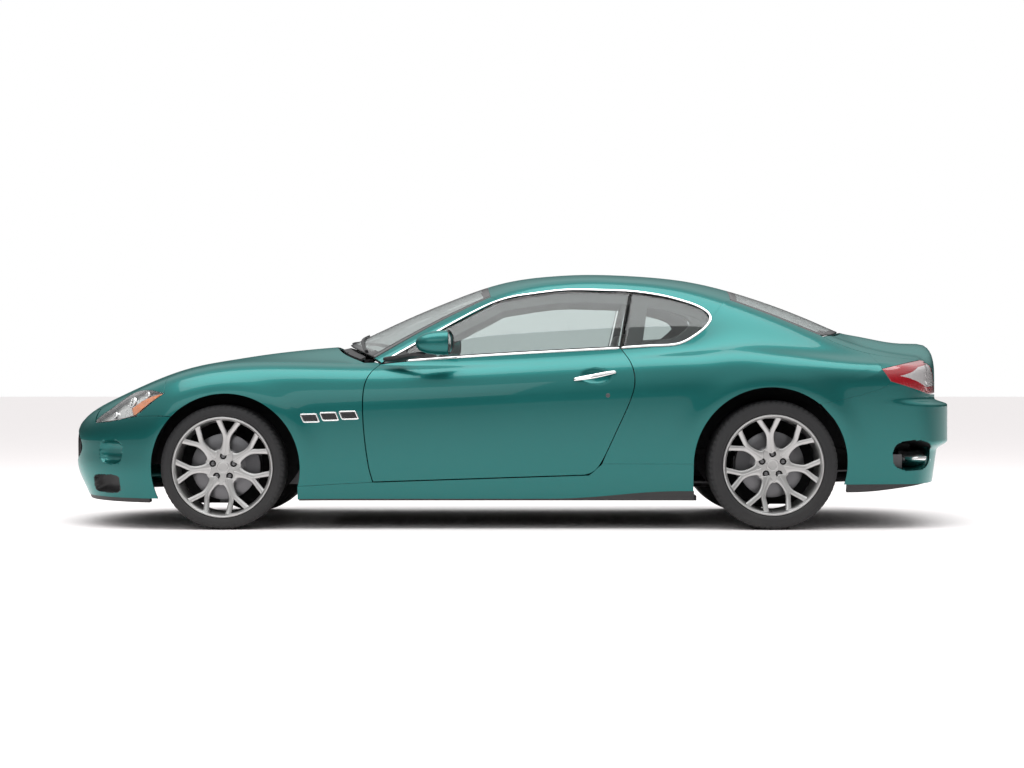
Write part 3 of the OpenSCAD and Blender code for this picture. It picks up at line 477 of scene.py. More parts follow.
def grain_group():
    """Fine grain and broad unevenness: two noises give a mask and a height."""
    g, a, b = node_group("Grain", {"Scale": ("Float", 400.0), "Broad": ("Float", 3.0), "Amount": ("Float", 0.5)},
                         {"Mask": "Float", "Height": "Float"})
    c = add(g, "TexCoord")
    small = add(g, "TexNoise", {"Vector": c.outputs["Object"], "Scale": a.outputs["Scale"], "Detail": 4.0})
    wide = add(g, "TexNoise", {"Vector": c.outputs["Object"], "Scale": a.outputs["Broad"], "Detail": 3.0})
    mix = add(g, "Math", {0: small.outputs["Fac"], 1: a.outputs["Amount"]}, operation="MULTIPLY")
    rest = add(g, "Math", {0: 1.0, 1: a.outputs["Amount"]}, operation="SUBTRACT")
    part = add(g, "Math", {0: wide.outputs["Fac"], 1: rest.outputs[0]}, operation="MULTIPLY")
    total = add(g, "Math", {0: mix.outputs[0], 1: part.outputs[0]}, operation="ADD")
    g.links.new(total.outputs[0], b.inputs["Mask"])
    g.links.new(small.outputs["Fac"], b.inputs["Height"])
    return g


def hide_group():
    """Leather: cells between creases give a height, and their walls a mask."""
    g, a, b = node_group("Hide", {"Scale": ("Float", 350.0)}, {"Height": "Float", "Creases": "Float"})
    c = add(g, "TexCoord")
    v = add(g, "TexVoronoi", {"Vector": c.outputs["Object"], "Scale": a.outputs["Scale"]}, feature="DISTANCE_TO_EDGE")
    r = add(g, "MapRange", {0: v.outputs["Distance"], 1: 0.0, 2: 0.12, 3: 0.0, 4: 1.0})
    g.links.new(r.outputs[0], b.inputs["Height"])
    g.links.new(r.outputs[0], b.inputs["Creases"])
    return g


def dust_group():
    """Road dust: more of it low on the car, broken up by noise."""
    g, a, b = node_group("Dust", {"Top": ("Float", 0.35), "Strength": ("Float", 0.3)}, {"Mask": "Float"})
    c = add(g, "TexCoord")
    s = add(g, "SeparateXYZ", {0: c.outputs["Object"]})
    low = add(g, "MapRange", {0: s.outputs["Z"], 1: 0.0, 2: a.outputs["Top"], 3: 1.0, 4: 0.0})
    n = add(g, "TexNoise", {"Vector": c.outputs["Object"], "Scale": 7.0, "Detail": 6.0})
    m = add(g, "Math", {0: low.outputs[0], 1: n.outputs["Fac"]}, operation="MULTIPLY")
    k = add(g, "Math", {0: m.outputs[0], 1: a.outputs["Strength"]}, operation="MULTIPLY")
    g.links.new(k.outputs[0], b.inputs["Mask"])
    return g


GRAIN, HIDE, DUST = grain_group(), hide_group(), dust_group()


def finish_of(name, color, rough=0.5, metal=0.0, coat=0.0, vary=0.15, grain=400.0, broad=3.0, bump=0.05,
              dust=0.0, leather=0.0, rough_vary=0.1, **more):
    """A material: base colour and roughness varied by grain, a fine bump, and dust low down."""
    m = bpy.data.materials.new(name)
    m.use_nodes = True
    t = m.node_tree
    p = t.nodes["Principled BSDF"]
    g = t.nodes.new("ShaderNodeGroup")
    g.node_tree = GRAIN
    g.inputs["Scale"].default_value = grain
    g.inputs["Broad"].default_value = broad
    g.inputs["Amount"].default_value = 0.4
    base = np.array(color, float)
    dark, light = base * (1 - vary), np.minimum(base * (1 + vary), 1)
    mix = add(t, "Mix", {"Factor": g.outputs["Mask"]}, data_type="RGBA")
    mix.inputs[6].default_value = (*dark, 1)
    mix.inputs[7].default_value = (*light, 1)
    out = mix.outputs[2]
    if dust:
        d = t.nodes.new("ShaderNodeGroup")
        d.node_tree = DUST
        d.inputs["Strength"].default_value = dust
        over = add(t, "Mix", {"Factor": d.outputs["Mask"]}, data_type="RGBA")
        t.links.new(out, over.inputs[6])
        over.inputs[7].default_value = (0.22, 0.21, 0.19, 1)
        out = over.outputs[2]
    t.links.new(out, p.inputs["Base Color"])
    r = add(t, "MapRange", {0: g.outputs["Mask"], 1: 0.3, 2: 0.7, 3: max(rough - rough_vary, 0.02),
                            4: min(rough + rough_vary, 1)})
    t.links.new(r.outputs[0], p.inputs["Roughness"])
    height = g.outputs["Height"]
    if leather:
        h = t.nodes.new("ShaderNodeGroup")
        h.node_tree = HIDE
        h.inputs["Scale"].default_value = leather
        height = h.outputs["Height"]
    if bump:
        b = add(t, "Bump", {"Height": height, "Strength": bump, "Distance": 0.001})
        t.links.new(b.outputs[0], p.inputs["Normal"])
    p.inputs["Metallic"].default_value = metal
    p.inputs["Coat Weight"].default_value = coat
    for key, value in more.items():
        p.inputs[key.replace("_", " ").title()].default_value = value
    return m


def clear_glass(name, color, rough=0.0, ior=1.45, transmission=1.0):
    """Glass with a plain Metallic and Transmission Weight, and a faint unevenness in its tint."""
    m = bpy.data.materials.new(name)
    m.use_nodes = True
    t = m.node_tree
    p = t.nodes["Principled BSDF"]
    g = t.nodes.new("ShaderNodeGroup")
    g.node_tree = GRAIN
    g.inputs["Scale"].default_value = 6.0
    tint = add(t, "Mix", {0: g.outputs["Mask"]}, data_type="RGBA")
    tint.inputs[6].default_value = (*[c * 0.97 for c in color], 1)
    tint.inputs[7].default_value = (*color, 1)
    t.links.new(tint.outputs[2], p.inputs["Base Color"])
    p.inputs["Roughness"].default_value = rough
    p.inputs["Metallic"].default_value = 0.0
    p.inputs["IOR"].default_value = ior
    p.inputs["Transmission Weight"].default_value = transmission
    return m


PAINT = finish_of("teal metallic paint", (0.011, 0.116, 0.110), rough=0.36, metal=0.80, coat=0.45, vary=0.10,
                  grain=1800.0, broad=1.2, bump=0.02, rough_vary=0.05, coat_roughness=0.04,
                  specular_tint=(0.30, 0.78, 0.74, 1))
BLACK = finish_of("moulded black plastic", (0.012, 0.012, 0.013), rough=0.55, vary=0.25, grain=900.0, bump=0.25,
                  dust=0.1)
GLOSS_BLACK = finish_of("gloss black trim", (0.008, 0.008, 0.009), rough=0.15, vary=0.1, bump=0.0, rough_vary=0.05)
SEAL = finish_of("rubber seal", (0.01, 0.01, 0.01), rough=0.7, vary=0.2, grain=300.0, bump=0.1)
CHROME = finish_of("bright trim", (0.80, 0.80, 0.80), rough=0.10, metal=1.0, vary=0.03, bump=0.0, rough_vary=0.04)
ALLOY = finish_of("silver wheel lacquer", (0.40, 0.40, 0.395), rough=0.32, metal=0.75, coat=0.5, vary=0.05,
                  grain=1500.0, bump=0.02, rough_vary=0.05)
# turned steel with a darker base than bare steel has: the darkening is painted shade, for brake discs and nuts that sit
# in shadow behind the wheels; engine, exhaust and locks take the same darkened steel
STEEL_DARKENED_FOR_SHADE = finish_of("turned steel darkened for shade", (0.13, 0.13, 0.135), rough=0.35, metal=1.0, vary=0.12, broad=9.0, bump=0.03)
IRON = finish_of("cast iron", (0.09, 0.09, 0.095), rough=0.6, metal=0.7, vary=0.3, grain=260.0, bump=0.35, dust=0.25)
RUBBER = finish_of("tyre rubber", (0.010, 0.010, 0.011), rough=0.75, vary=0.25, grain=700.0, bump=0.12, dust=0.1)
UNDER = finish_of("underbody coating", (0.007, 0.007, 0.008), rough=0.85, vary=0.3, grain=160.0, bump=0.4, dust=0.12)
LINER = finish_of("felted arch liner", (0.005, 0.005, 0.006), rough=0.95, vary=0.3, grain=500.0, bump=0.4, dust=0.08)
LEATHER = finish_of("seat leather", (0.16, 0.145, 0.13), rough=0.48, vary=0.12, leather=330.0, bump=0.25)
LEATHER_DARK = finish_of("dark leather", (0.035, 0.034, 0.034), rough=0.5, vary=0.2, leather=420.0, bump=0.25)
TRIM = finish_of("cabin moulding", (0.05, 0.05, 0.05), rough=0.6, vary=0.15, grain=1200.0, bump=0.3)
CLOTH = finish_of("headlining cloth", (0.42, 0.41, 0.38), rough=0.9, vary=0.1, grain=1500.0, bump=0.4)
CARPET = finish_of("carpet", (0.03, 0.03, 0.03), rough=0.98, vary=0.5, grain=800.0, bump=0.8)
AMBER = finish_of("amber lens", (0.75, 0.20, 0.03), rough=0.15, vary=0.1, coat=1.0, grain=120.0, bump=0.1)
RED = finish_of("red lens", (0.26, 0.006, 0.012), rough=0.12, vary=0.15, coat=1.0, grain=160.0, bump=0.15)
CLEAR_RED = finish_of("clear lamp field", (0.62, 0.60, 0.60), rough=0.15, metal=0.4, coat=1.0, vary=0.15, grain=160.0,
                      bump=0.3)
REFLECTOR = finish_of("lamp reflector", (0.62, 0.62, 0.61), rough=0.28, metal=0.45, vary=0.08, grain=90.0, bump=0.3)
GLASS = clear_glass("window glass", (0.62, 0.68, 0.67))
LENS = clear_glass("lamp cover", (0.96, 0.97, 0.97))

# ---------------------------------------------------------------- seams (length, height) or (length, width)
SAIL_X = -566


def sill_line(x):
    """Height of the seam between doors or wings and the sills."""
    return np.where(x < -739, 253 + 0.0546 * (x + 739), 253 + 0.033 * (x + 739))


door_front = fine([[-738, 257], [-760, 340], [-782, 508], [-790, 669], [-780, 777], [-748, 842], [-704, 884]], 10)
door_rear = fine([[340, 292.5], [420, 300], [478, 354], [562, 530], [636, 697], [659, 797], [640, 891], [590, 968]], 12)
door_top = fine([[-704, 884], [-480, 905], [0, 936], [590, 968]], 18)
pillar_low = fine([[-700, 893], [-550, 978], [-400, 1062], [-250, 1142], [-130, 1204], [-72, 1236]], 14)
front_sill = straight([-1142.5, 231], [-738 - GAP, sill_line(-745.0)], 7 * FINE)
rear_sill = straight([REAR_ARCH[0] - REAR_ARCH_R, 352], [488, 352], 8 * FINE)
lamp_rear = fine([[-2010, 604], [-1952, 655], [-1898, 700], [-1858, 728]], 5)
lamp_low = fine([[-2268, 566], [-2180, 573], [-2090, 586], [-2010, 604]], 6)
hood_edge = fine([[-2250, -560], [-2160, -600], [-2060, -655], [-1960, -702], [-1860, -738], [-1700, -736],
                  [-1500, -727], [-1300, -716], [-1100, -706], [-940, -703], [-800, -706]], 20)
LAMP_END = 8 * FINE
screen_edge = fine([[1206, -553], [1400, -580], [1560, -594], [1700, -604]], 8)
lid_edge = fine([[1716, -606], [1775, -630], [1889, -655], [2010, -664], [2140, -657], [2235, -638]], 8)
lamp_top = fine([[2225, 908], [2150, 896], [2060, 878], [1981, 860]], 5)
lamp_front = fine([[1981, 860], [2002, 830], [2028, 793]], 4)
lamp_under = fine([[2028, 793], [2150, 757], [2262, 724]], 4)
bumper_seam = fine([[1651, 672], [1740, 690], [1850, 716], [1950, 744], [2005, 768], [2028, 793]], 7)
window_low = fine([[600, 966], [760, 978], [880, 984], [960, 1012], [1030, 1066], [1080, 1116]], 9)
window_top = fine([[660, 1276], [760, 1264], [860, 1245], [960, 1216], [1040, 1180], [1082, 1128]], 9)
rail = fine([[-72, 1236], [100, 1270], [300, 1292], [500, 1290], [653, 1284], [760, 1271], [860, 1252],
             [960, 1223], [1046, 1186], [1092, 1134]], 20)
pillar_top = fine([[-742, -700], [-600, -664], [-450, -628], [-300, -592], [-180, -562], [-112, -546]], 14)

lid_corner = hit("tail", 40, 724 + 7.5)
lid_drop = run("lid", on_top(lid_edge[-1:])[0], lid_corner, 4)
pillar_end = run("roof", on_side([[-72, 1236]])[0], on_top([[-112, -546]])[0], 3)
quarter_end = run("barrel", on_side([[1092, 1134]])[0], on_top([[1206, -553]])[0], 3)


def sample(grid, u, v):
    """Points of a grid at shares u along its columns and v along its rows."""
    n, m = grid.shape[:2]
    x, y = np.clip(u, 0, 1) * (m - 1), np.clip(v, 0, 1) * (n - 1)
    i, j = np.minimum(x.astype(int), m - 2), np.minimum(y.astype(int), n - 2)
    a, b = (x - i)[..., None], (y - j)[..., None]
    return ((1 - b) * ((1 - a) * grid[j, i] + a * grid[j, i + 1])
            + b * ((1 - a) * grid[j + 1, i] + a * grid[j + 1, i + 1]))


def front_wing():
    """Front wing: from the arch out to lamp, bonnet, door and sill."""
    tip = on_side(lamp_rear[-1:])[0]
    hood = on_top(hood_edge[LAMP_END:], 0, -GAP)
    corner = on_side([[-704 - GAP, 884 + GAP]])[0]
    low = on_side(front_sill)
    door = on_side(door_front[FINE:][::-1], -GAP)
    outline = chain(on_side(lamp_rear, SEAM), run("barrel", tip, hood[0], 3), hood, run("barrel", hood[-1], corner, 3),
                    np.concatenate([[corner], door[1:]]), run("barrel", door[-1], low[-1], 1))
    k = len(outline) - 1
    edge = arc(FRONT_ARCH, FRONT_ARCH_R, 136, -14.4, k)
    arch = on_side(edge)
    arch[-1] = low[0]
    return refit_patch("barrel", arch, outline, run("barrel", arch[0], outline[0], 7), low)


def refit_patch(kind, bottom, top, left, right):
    """A patch whose opposite edges are first brought to the same number of points."""
    n = max(len(left), len(right)) - 1
    if len(left) != len(right):
        left, right = refit(kind, left, n), refit(kind, right, n)
    m = max(len(bottom), len(top)) - 1
    if len(bottom) != len(top):
        bottom, top = refit(kind, bottom, m), refit(kind, top, m)
    return patch(kind, bottom, top, left, right)


def rear_wing():
    """Rear wing: from the arch out to door, side window, roof, rear window, lid and lamp."""
    low = on_side(rear_sill)
    edge = np.concatenate([[low[-1]], on_side(door_rear[4 * FINE:] + [GAP, 0])])
    window = on_side(window_low, 0, -SEAM)
    screen = on_top(screen_edge, 0, -SEAM)
    lid = on_top(lid_edge, 0, -GAP)
    outline = chain(edge, run("side", edge[-1], window[0]), window, run("barrel", window[-1], quarter_end[0]),
                    quarter_end, run("barrel", quarter_end[-1], screen[0]), screen,
                    run("barrel", screen[-1], lid[0]), lid[:4 * FINE + 1],
                    run("barrel", lid[4 * FINE], on_side([[1981, 860]])[0], 2), on_side(lamp_front))
    k = len(outline) - 1
    arch = on_side(arc(REAR_ARCH, REAR_ARCH_R, 180, 51, k))
    end = on_side(bumper_seam)
    arch[0], arch[-1] = low[0], end[0]
    return refit_patch("barrel", arch, outline, low, end)


def rear_shoulder():
    """Strip between the boot lid and the tail lamp."""
    inner = on_top(lid_edge[4 * FINE:], SEAM, -GAP)
    outer = on_side(bend(lamp_top[::-1], 4 * FINE), SEAM, SEAM)
    return patch("barrel", outer, inner, run("barrel", outer[0], inner[0], 2), run("barrel", outer[-1], inner[-1], 2))


def sill_part():
    """Sill: outer face on the body, inner face straight down the car."""
    x = -730 + 1150 * np.arange(8 * FINE + 1) / (8 * FINE)
    mid = np.stack([x, sill_line(x) - GAP / 2], -1)
    top = np.concatenate([front_sill - [0, SEAM], mid, [[438, 292], [486, 343]], rear_sill[::-1] - [0, SEAM]])
    bottom = straight([top[0][0], 160], [top[-1][0], 160], len(top) - 1)
    outer = patch("side", on_side(bottom), on_side(top), on_side(straight(bottom[0], top[0], 12)),
                  on_side(straight(bottom[-1], top[-1], 12)))
    inner = outer.copy()
    inner[..., 1] = -790.3
    return plate(outer, inner)


def front_bumper_part():
    """Front bumper: a ring from the oval mouth out to arches, lamps, bonnet and underside."""
    z = even(np.array([[165, 0], [604, 0]]), 7 * FINE)[:, 0]
    arch_x = lambda h: FRONT_ARCH[0] - np.sqrt(FRONT_ARCH_R**2 - (h - FRONT_ARCH[1])**2)
    arch = hit("side", arch_x(z), z)
    seam = run("barrel", on_side([[arch_x(604.0), 604 - SEAM]])[0], on_side([[-2010, 604 - SEAM]])[0], 2)
    low = on_side(lamp_low[::-1], 0, -SEAM)
    top_corner = on_top([[-2250 - GAP, -560]])[0]
    s = 1 - np.arange(6 * FINE + 1) / (6 * FINE)
    half = hit("top", -2250 - GAP - 110 * (1 - s * s), -560 * s)
    left = chain(arch, run("barrel", arch[-1], seam[0]), seam, low, run("nose", low[-1], top_corner), half)
    right = right_of(left[:-1])[::-1]
    a0 = unray("nose", left[0])[0]
    bottom = hit("nose", -a0 + 2 * a0 * np.arange(1, 20 * FINE) / (20 * FINE), 165)
    loop = np.concatenate([left, right, bottom])
    q = unray("nose", loop)
    a = np.arctan2((q[:, 1] - 432) / 105, q[:, 0] / 36)
    mouth = np.stack([36 * np.cos(a), 432 + 105 * np.sin(a)], -1)
    t = np.linspace(0, 1, 6 * FINE + 1)[:, None, None]
    way = mouth[None] + (q - mouth)[None] * t
    grid = hit("nose", way[..., 0], way[..., 1])
    grid[-1] = loop
    grid = np.concatenate([grid, grid[:, :1]], 1)
    grid = finer(grid, 72, 3 * grid.shape[1], "nose")[:, :-1]
    lamp_pit = pit_depth(grid, (-2160, 412), (66, 63), 46, 3)
    duct = pit_depth(grid, (-2194, 238), (80, 48), 60, 5)
    deep = duct > 0.8
    dark = (deep | np.roll(deep, -1, 1))[:-1, :] | (deep | np.roll(deep, -1, 1))[1:, :]
    carved = sunk(grid, (lamp_pit + duct)[..., None])
    carved[..., 0] = np.maximum(carved[..., 0], -2453.6)
    v, f = plate(carved, sunk(grid, (lamp_pit + duct)[..., None] + SKIN), True)
    return (v, f), np.concatenate([dark.reshape(-1), np.zeros(len(f) - dark.size, bool)]).astype(int)


def finer(grid, rows, cols, kind):
    """The same patch with more points, put back on the body."""
    u, v = np.meshgrid(np.linspace(0, 1, cols), np.linspace(0, 1, rows))
    q = sample(unray(kind, grid), u, v)
    out = hit(kind, q[..., 0], q[..., 1])
    return out


def pit_depth(grid, centre, half, depth, power):
    """Depth of a soft-edged pit in the flanks, by length and height: a superellipse about a centre."""
    r = (abs((grid[..., 0] - centre[0]) / half[0])**power + abs((grid[..., 2] - centre[1]) / half[1])**power)
    return depth * np.sqrt(np.clip(1 - r, 0, 1)) * (abs(grid[..., 1]) > 300)


def rear_bumper_part():
    """Rear bumper: between the arches, from the lamps and the lid down to its lower edge."""
    arch_x = lambda h: REAR_ARCH[0] + np.sqrt(REAR_ARCH_R**2 - (h - REAR_ARCH[1])**2)
    up = on_side(bumper_seam, 0, -SEAM)
    z = np.linspace(240, 600, 6 * FINE + 1)
    left = np.concatenate([hit("side", arch_x(z), z), run("side", on_side([[arch_x(600.0), 600]])[0], up[0])[1:]])
    lamp = on_side(lamp_under, 0, -SEAM)
    t = np.arange(5 * FINE + 1) / (5 * FINE)
    mid = hit("tail", unray("tail", lamp[-1])[0] * (1 - t), 722 - 12 * t)
    mid[0] = lamp[-1]
    half = chain(up, run("tail", up[-1], lamp[0]), lamp, mid)
    top = chain(half, right_of(half)[::-1])
    k = len(top) - 1
    a0 = unray("tail", left[0])[0]
    bottom = hit("tail", a0 * (1 - 2 * np.arange(k + 1) / k), 240)
    bottom[0], bottom[-1] = left[0], right_of(left[0])
    grid = finer(patch("tail", bottom, top, left, right_of(left)), 84, 420, "tail")
    r = (abs((grid[..., 0] - 2162) / 114)**2.6 + abs((grid[..., 2] - 394) / 80)**2.6)
    way = np.sign(grid[..., 1])
    floor_y = 790 - 300 * np.sqrt(np.clip(1 - r, 0, 1))
    y = np.where((r < 1) & (abs(grid[..., 1]) > 480), np.minimum(abs(grid[..., 1]), floor_y), abs(grid[..., 1]))
    dark = (abs(grid[..., 1]) - y > 12)[:-1, :-1]
    carved = np.stack([grid[..., 0], way * y, grid[..., 2]], -1)
    inner = sunk(grid, SKIN)
    inner = np.stack([inner[..., 0], way * np.minimum(abs(inner[..., 1]), np.where(y < abs(grid[..., 1]) - 1, y - 6,
                                                            1e4)),
                      inner[..., 2]], -1)
    v, f = plate(carved, inner)
    return (v, f), np.concatenate([dark.reshape(-1), np.zeros(len(f) - dark.size, bool)]).astype(int)


def roof_part():
    """Roof: between the rails, from windscreen to rear window."""
    d = np.zeros((len(rail), 2))
    d[:, 1] = SEAM
    left = on_side(rail + d)
    s = np.linspace(-1, 1, 10 * FINE + 1)
    screen = hit("top", -112 - 22 * (1 - s * s) + SEAM, 546 * s)
    back = hit("top", 1206 + 12 * (1 - s * s) - SEAM, 553 * s)
    front = chain(pillar_end + [SEAM, 0, 0], np.concatenate([[pillar_end[-1]], screen]),
                  np.concatenate([[screen[-1]], right_of(pillar_end)[::-1][1:]]))
    rear = chain(quarter_end - [SEAM, 0, 0], np.concatenate([[quarter_end[-1]], back]),
                 np.concatenate([[back[-1]], right_of(quarter_end)[::-1][1:]]))
    front[0], front[-1] = left[0], right_of(left[0])
    rear[0], rear[-1] = left[-1], right_of(left[-1])
    return patch("roof", left, right_of(left), front, rear)


def hood_part():
    """Bonnet between its two long edges."""
    left = on_top(hood_edge)
    s = np.linspace(-1, 1, 14 * FINE + 1)
    front = hit("top", hood_edge[0][0] - 110 * (1 - s * s), -hood_edge[0][1] * s)
    rear = hit("top", hood_edge[-1][0] - 190 * (1 - s * s), -hood_edge[-1][1] * s)
    return patch("top", left, right_of(left), front, rear)


def lid_part():
    """Boot lid: top and the drop to the bumper."""
    left = chain(on_top(lid_edge), lid_drop)
    right = right_of(left)
    s = np.linspace(-1, 1, 12 * FINE + 1)
    front = hit("top", lid_edge[0][0] + 164 * (1 - s * s), -lid_edge[0][1] * s)
    rear = hit("tail", -40 * s, 724 - 10 * (1 - s * s) + 7.5)
    front[0], front[-1], rear[0], rear[-1] = left[0], right[0], left[-1], right[-1]
    return patch("lid", left, right, front, rear)


def door_part():
    """Door: outer face on the body, inner face at the depth of the cabin wall."""
    left, right = on_side(door_front), refit("side", on_side(door_rear), 10 * FINE)
    x = -738 + 1078 * np.linspace(0, 1, 18 * FINE + 1)
    bottom = hit("side", x, sill_line(x) + 3.75)
    bottom[0], bottom[-1] = left[0], right[0]
    top = on_side(door_top)
    outer = finer(patch("side", bottom, top, left, right), 96, 180, "side")
    cup = pit_depth(outer, (452, 820), (80, 39), 15, 2)
    smooth_side = outer
    outer = sunk(outer, cup[..., None])
    x, y, z = outer[..., 0], outer[..., 1], outer[..., 2]
    n, m = outer.shape[:2]
    depth = np.maximum(smooth_side[..., 1] + 25, -790.5 - 120 * (1 - ease((x + 680) / 60)))
    u = np.linspace(-1, 1, m)[None, :]**7 * np.ones((n, 1))
    w = np.linspace(-1, 1, n)[:, None]**7 * np.ones((1, m))
    inner = np.stack([x - 9 * u + 16 * ease((z - 780) / 80) * (1 - ease((x + 740) / 60)), depth, z - 5 * w], -1)
    return outer, inner


wing, quarter, shoulder = front_wing(), rear_wing(), rear_shoulder()
roof_grid, hood_grid, lid_grid = roof_part(), hood_part(), lid_part()
door_outer, door_inner = door_part()


def both(part):
    """A part and its mirror image, as one shell."""
    return together(part, mirrored(part))


def painted(name, part, rides, node, bevel=1.6, **more):
    """A body panel: smooth paint with its edges rounded over."""
    return mesh_piece(name, part, PAINT, rides, node, "paint", bevel=bevel, segments=3, **more)


painted("wings_front", both(shell(wing, SKIN)), "body", "front_fenders")
painted("wings_rear", together(both(shell(quarter, SKIN)), both(shell(shoulder, SKIN))), "body", "rear_quarters")
painted("sill_panels", both(sill_part()), "body", "sills")
for name, (part, dark), node in (("bumper_front", front_bumper_part(), "front_bumper"),
                                 ("bumper_rear", rear_bumper_part(), "rear_bumper")):
    mesh_piece(name, part, None, "body", node, "paint", bevel=1.2, materials=[PAINT, BLACK], index=dark)
painted("roof_panel", shell(sunk(roof_grid, 0.15), 12), "body", "roof")
painted("bonnet", shell(hood_grid, 12), "hood", "hood")
painted("boot_lid", shell(lid_grid, 10), "trunk_lid", "trunk_lid")
for side, turn in (("left", lambda p: p), ("right", mirrored)):
    v, f = turn(plate(door_outer, door_inner))
    count = (door_outer.shape[0] - 1) * (door_outer.shape[1] - 1)
    lining = np.zeros(len(f), int)
    lining[count:2 * count] = 1
    mesh_piece(f"door_shell_{side}", (v, f), None, f"door_{side}", f"door_{side}", "paint", bevel=1.6, segments=3,
               materials=[PAINT, LEATHER_DARK], index=lining)

# ---------------------------------------------------------------- glass and its borders
def oval(w, h, n=16, power=2.6, base=0.0):
    """Closed superellipse outline of width w and height h; base is where its lower edge lies."""
    t = np.linspace(0, 2 * math.pi, n, endpoint=False)
    c, s = np.cos(t), np.sin(t)
    return np.stack([w / 2 * np.sign(c) * abs(c)**(2 / power),
                     base + h / 2 + h / 2 * np.sign(s) * abs(s)**(2 / power)], -1)


def strip(path, width, height, base=0.0, shift=0.0, n=14, power=2.6, close=False, taper=None):
    """A rounded strip on the body along surface points: v follows the body's normal, u lies across.

    shift moves it sideways on the body; taper scales the section along the way."""
    p = np.asarray(path, float)
    m = normals(p)
    t = np.roll(p, -1, 0) - np.roll(p, 1, 0) if close else np.gradient(p, axis=0)
    u = np.cross(m, t)
    u /= np.linalg.norm(u, axis=1, keepdims=True)
    p = p + u * shift
    if taper is None:
        return swept(p, u, m, oval(width, height, n, power, base), close)
    k = np.asarray(taper)[:, None]
    return swept(p, u * k, m * k, oval(width, height, n, power, base), close)


def tips(n, share=0.06, least=0.15):
    """1 along the middle of a run and rounded down towards its two ends."""
    t = np.minimum(np.linspace(0, 1, n), np.linspace(1, 0, n)) / share
    return least + (1 - least) * np.sqrt(np.clip(t, 0, 1) * (2 - np.clip(t, 0, 1)))


def border(grid, width):
    """True for the cells whose middle lies nearer than width to the outline: min |mid - edge| < width."""
    mid = (grid[:-1, :-1] + grid[1:, 1:]) / 2
    edge = np.concatenate([grid[0], grid[-1], grid[:, 0], grid[:, -1]])
    d = np.sqrt(((mid[:, :, None] - edge[None, None])**2).sum(-1)).min(-1)
    return d < width


def pane(grid, frit=0.0, t=5.0):
    """A window: clear in the middle, with a black printed border of the given width."""
    inside = sunk(grid, t)
    v, f = plate(grid, inside)
    index = np.zeros(len(f), int)
    if frit:
        dark = border(grid, frit).reshape(-1).astype(int)
        index[:len(dark)] = dark
        index[len(dark):2 * len(dark)] = dark
    return v, f, index


# windscreen, rear window and the side windows
pillar_in = on_top(pillar_top)
s = np.linspace(-1, 1, 10 * FINE + 1)
screen_rear = hit("top", -112 - 22 * (1 - s * s), 546 * s)
screen_front = hit("top", -742 - 175 * (1 - s * s), 700 * s)
windscreen = patch("top", pillar_in, right_of(pillar_in), screen_front, screen_rear)

rear_in = on_top(screen_edge)
back_front = hit("top", 1206 + 12 * (1 - s * s), 553 * s)
back_rear = hit("top", 1700 + 160 * (1 - s * s), 604 * s)
rear_window = patch("top", rear_in, right_of(rear_in), back_front, back_rear)

low_edge, top_edge = on_side(window_low), on_side(window_top)
quarter_pane = patch("side", low_edge, top_edge, run("side", low_edge[0], top_edge[0], 5),
                     run("side", low_edge[-1], top_edge[-1], 5))

glass_top = np.concatenate([fine([[-550, 969], [-400, 1053], [-250, 1133], [-75, 1226]], 6),
                            fine([[-75, 1226], [100, 1261], [300, 1283], [500, 1281.5], [652, 1275]], 8)[1:]])
glass_up = np.concatenate([[[SAIL_X, 960]], glass_top])
belt = door_top[4 * FINE:]
glass_low = np.concatenate([[[SAIL_X, belt[0][1]]], bend(belt, len(glass_up) - 2)]) + [0, 0.5]
low_run, up_run = on_side(glass_low), on_side(glass_up)
door_pane = patch("side", low_run, up_run, run("side", low_run[0], up_run[0], 6), run("side", low_run[-1], up_run[-1],
                                                            6))


def glass_piece(name, parts, rides, node, frit=0.0):
    """One or more panes as one piece, with their black borders."""
    made = [pane(g, frit) for g in parts]
    vs, fs, ks, count = [], [], [], 0
    for v, f, k in made:
        vs.append(v)
        fs.append(f + count)
        ks.append(k)
        count += len(v)
    return mesh_piece(name, (np.concatenate(vs), np.concatenate(fs)), None, rides, node, "glass",
                      materials=[GLASS, GLOSS_BLACK], index=np.concatenate(ks))


def other(grid):
    """A grid on the other side of the car, its rows turned so that it still faces out."""
    return (grid * [1, -1, 1])[:, ::-1]


glass_piece("windscreen_glass", [windscreen], "body", "windscreen", 45)
glass_piece("rear_window_glass", [rear_window], "body", "rear_window", 40)
glass_piece("quarter_window_glass", [quarter_pane, other(quarter_pane)], "body", "quarter_windows", 0)
glass_piece("door_glass_left_pane", [door_pane], "door_left", "door_glass_left")
glass_piece("door_glass_right_pane", [other(door_pane)], "door_right", "door_glass_right")

# screen pillars
low = on_side(pillar_low)
up = on_top(pillar_top, 0, -SEAM)
pillar = patch("roof", low, up, run("roof", low[0], up[0], 3),
               np.array([low[-1], *run("roof", low[-1], up[-1], 3)[1:-1], up[-1]]))
painted("screen_pillars", both(shell(pillar, 10)), "body", "a_pillars")

# bright window surround: pillar and rail above, wing below, door belt
quarter_round = bend([[592, 969], [680, 975], [760, 980], [830, 982], [890, 987], [935, 1001], [980, 1026], [1030,
                                                            1060],
                      [1066, 1094], [1086, 1122], [1087, 1140], [1070, 1164], [1046, 1183], [1000, 1206], [960, 1220],
                      [860, 1249],
                      [760, 1268], [653, 1281], [500, 1287], [300, 1289], [100, 1266], [10, 1252], [-72, 1229], [-150,
                                                            1196],
                      [-250, 1144], [-400, 1060], [-550, 975], [-690, 896]], 200)
body_round = on_side(quarter_round, 0, 5)
body_round = even(body_round, 240)
for _ in range(6):
    body_round[1:-1] = (body_round[:-2] + 2 * body_round[1:-1] + body_round[2:]) / 4
CHROME_W = 12.5
surround = both(strip(body_round, CHROME_W, 5.0, -2.0, taper=tips(241, 0.012)))
mesh_piece("window_surround", surround, CHROME, "body", ("a_pillars", "roof"), "steel")
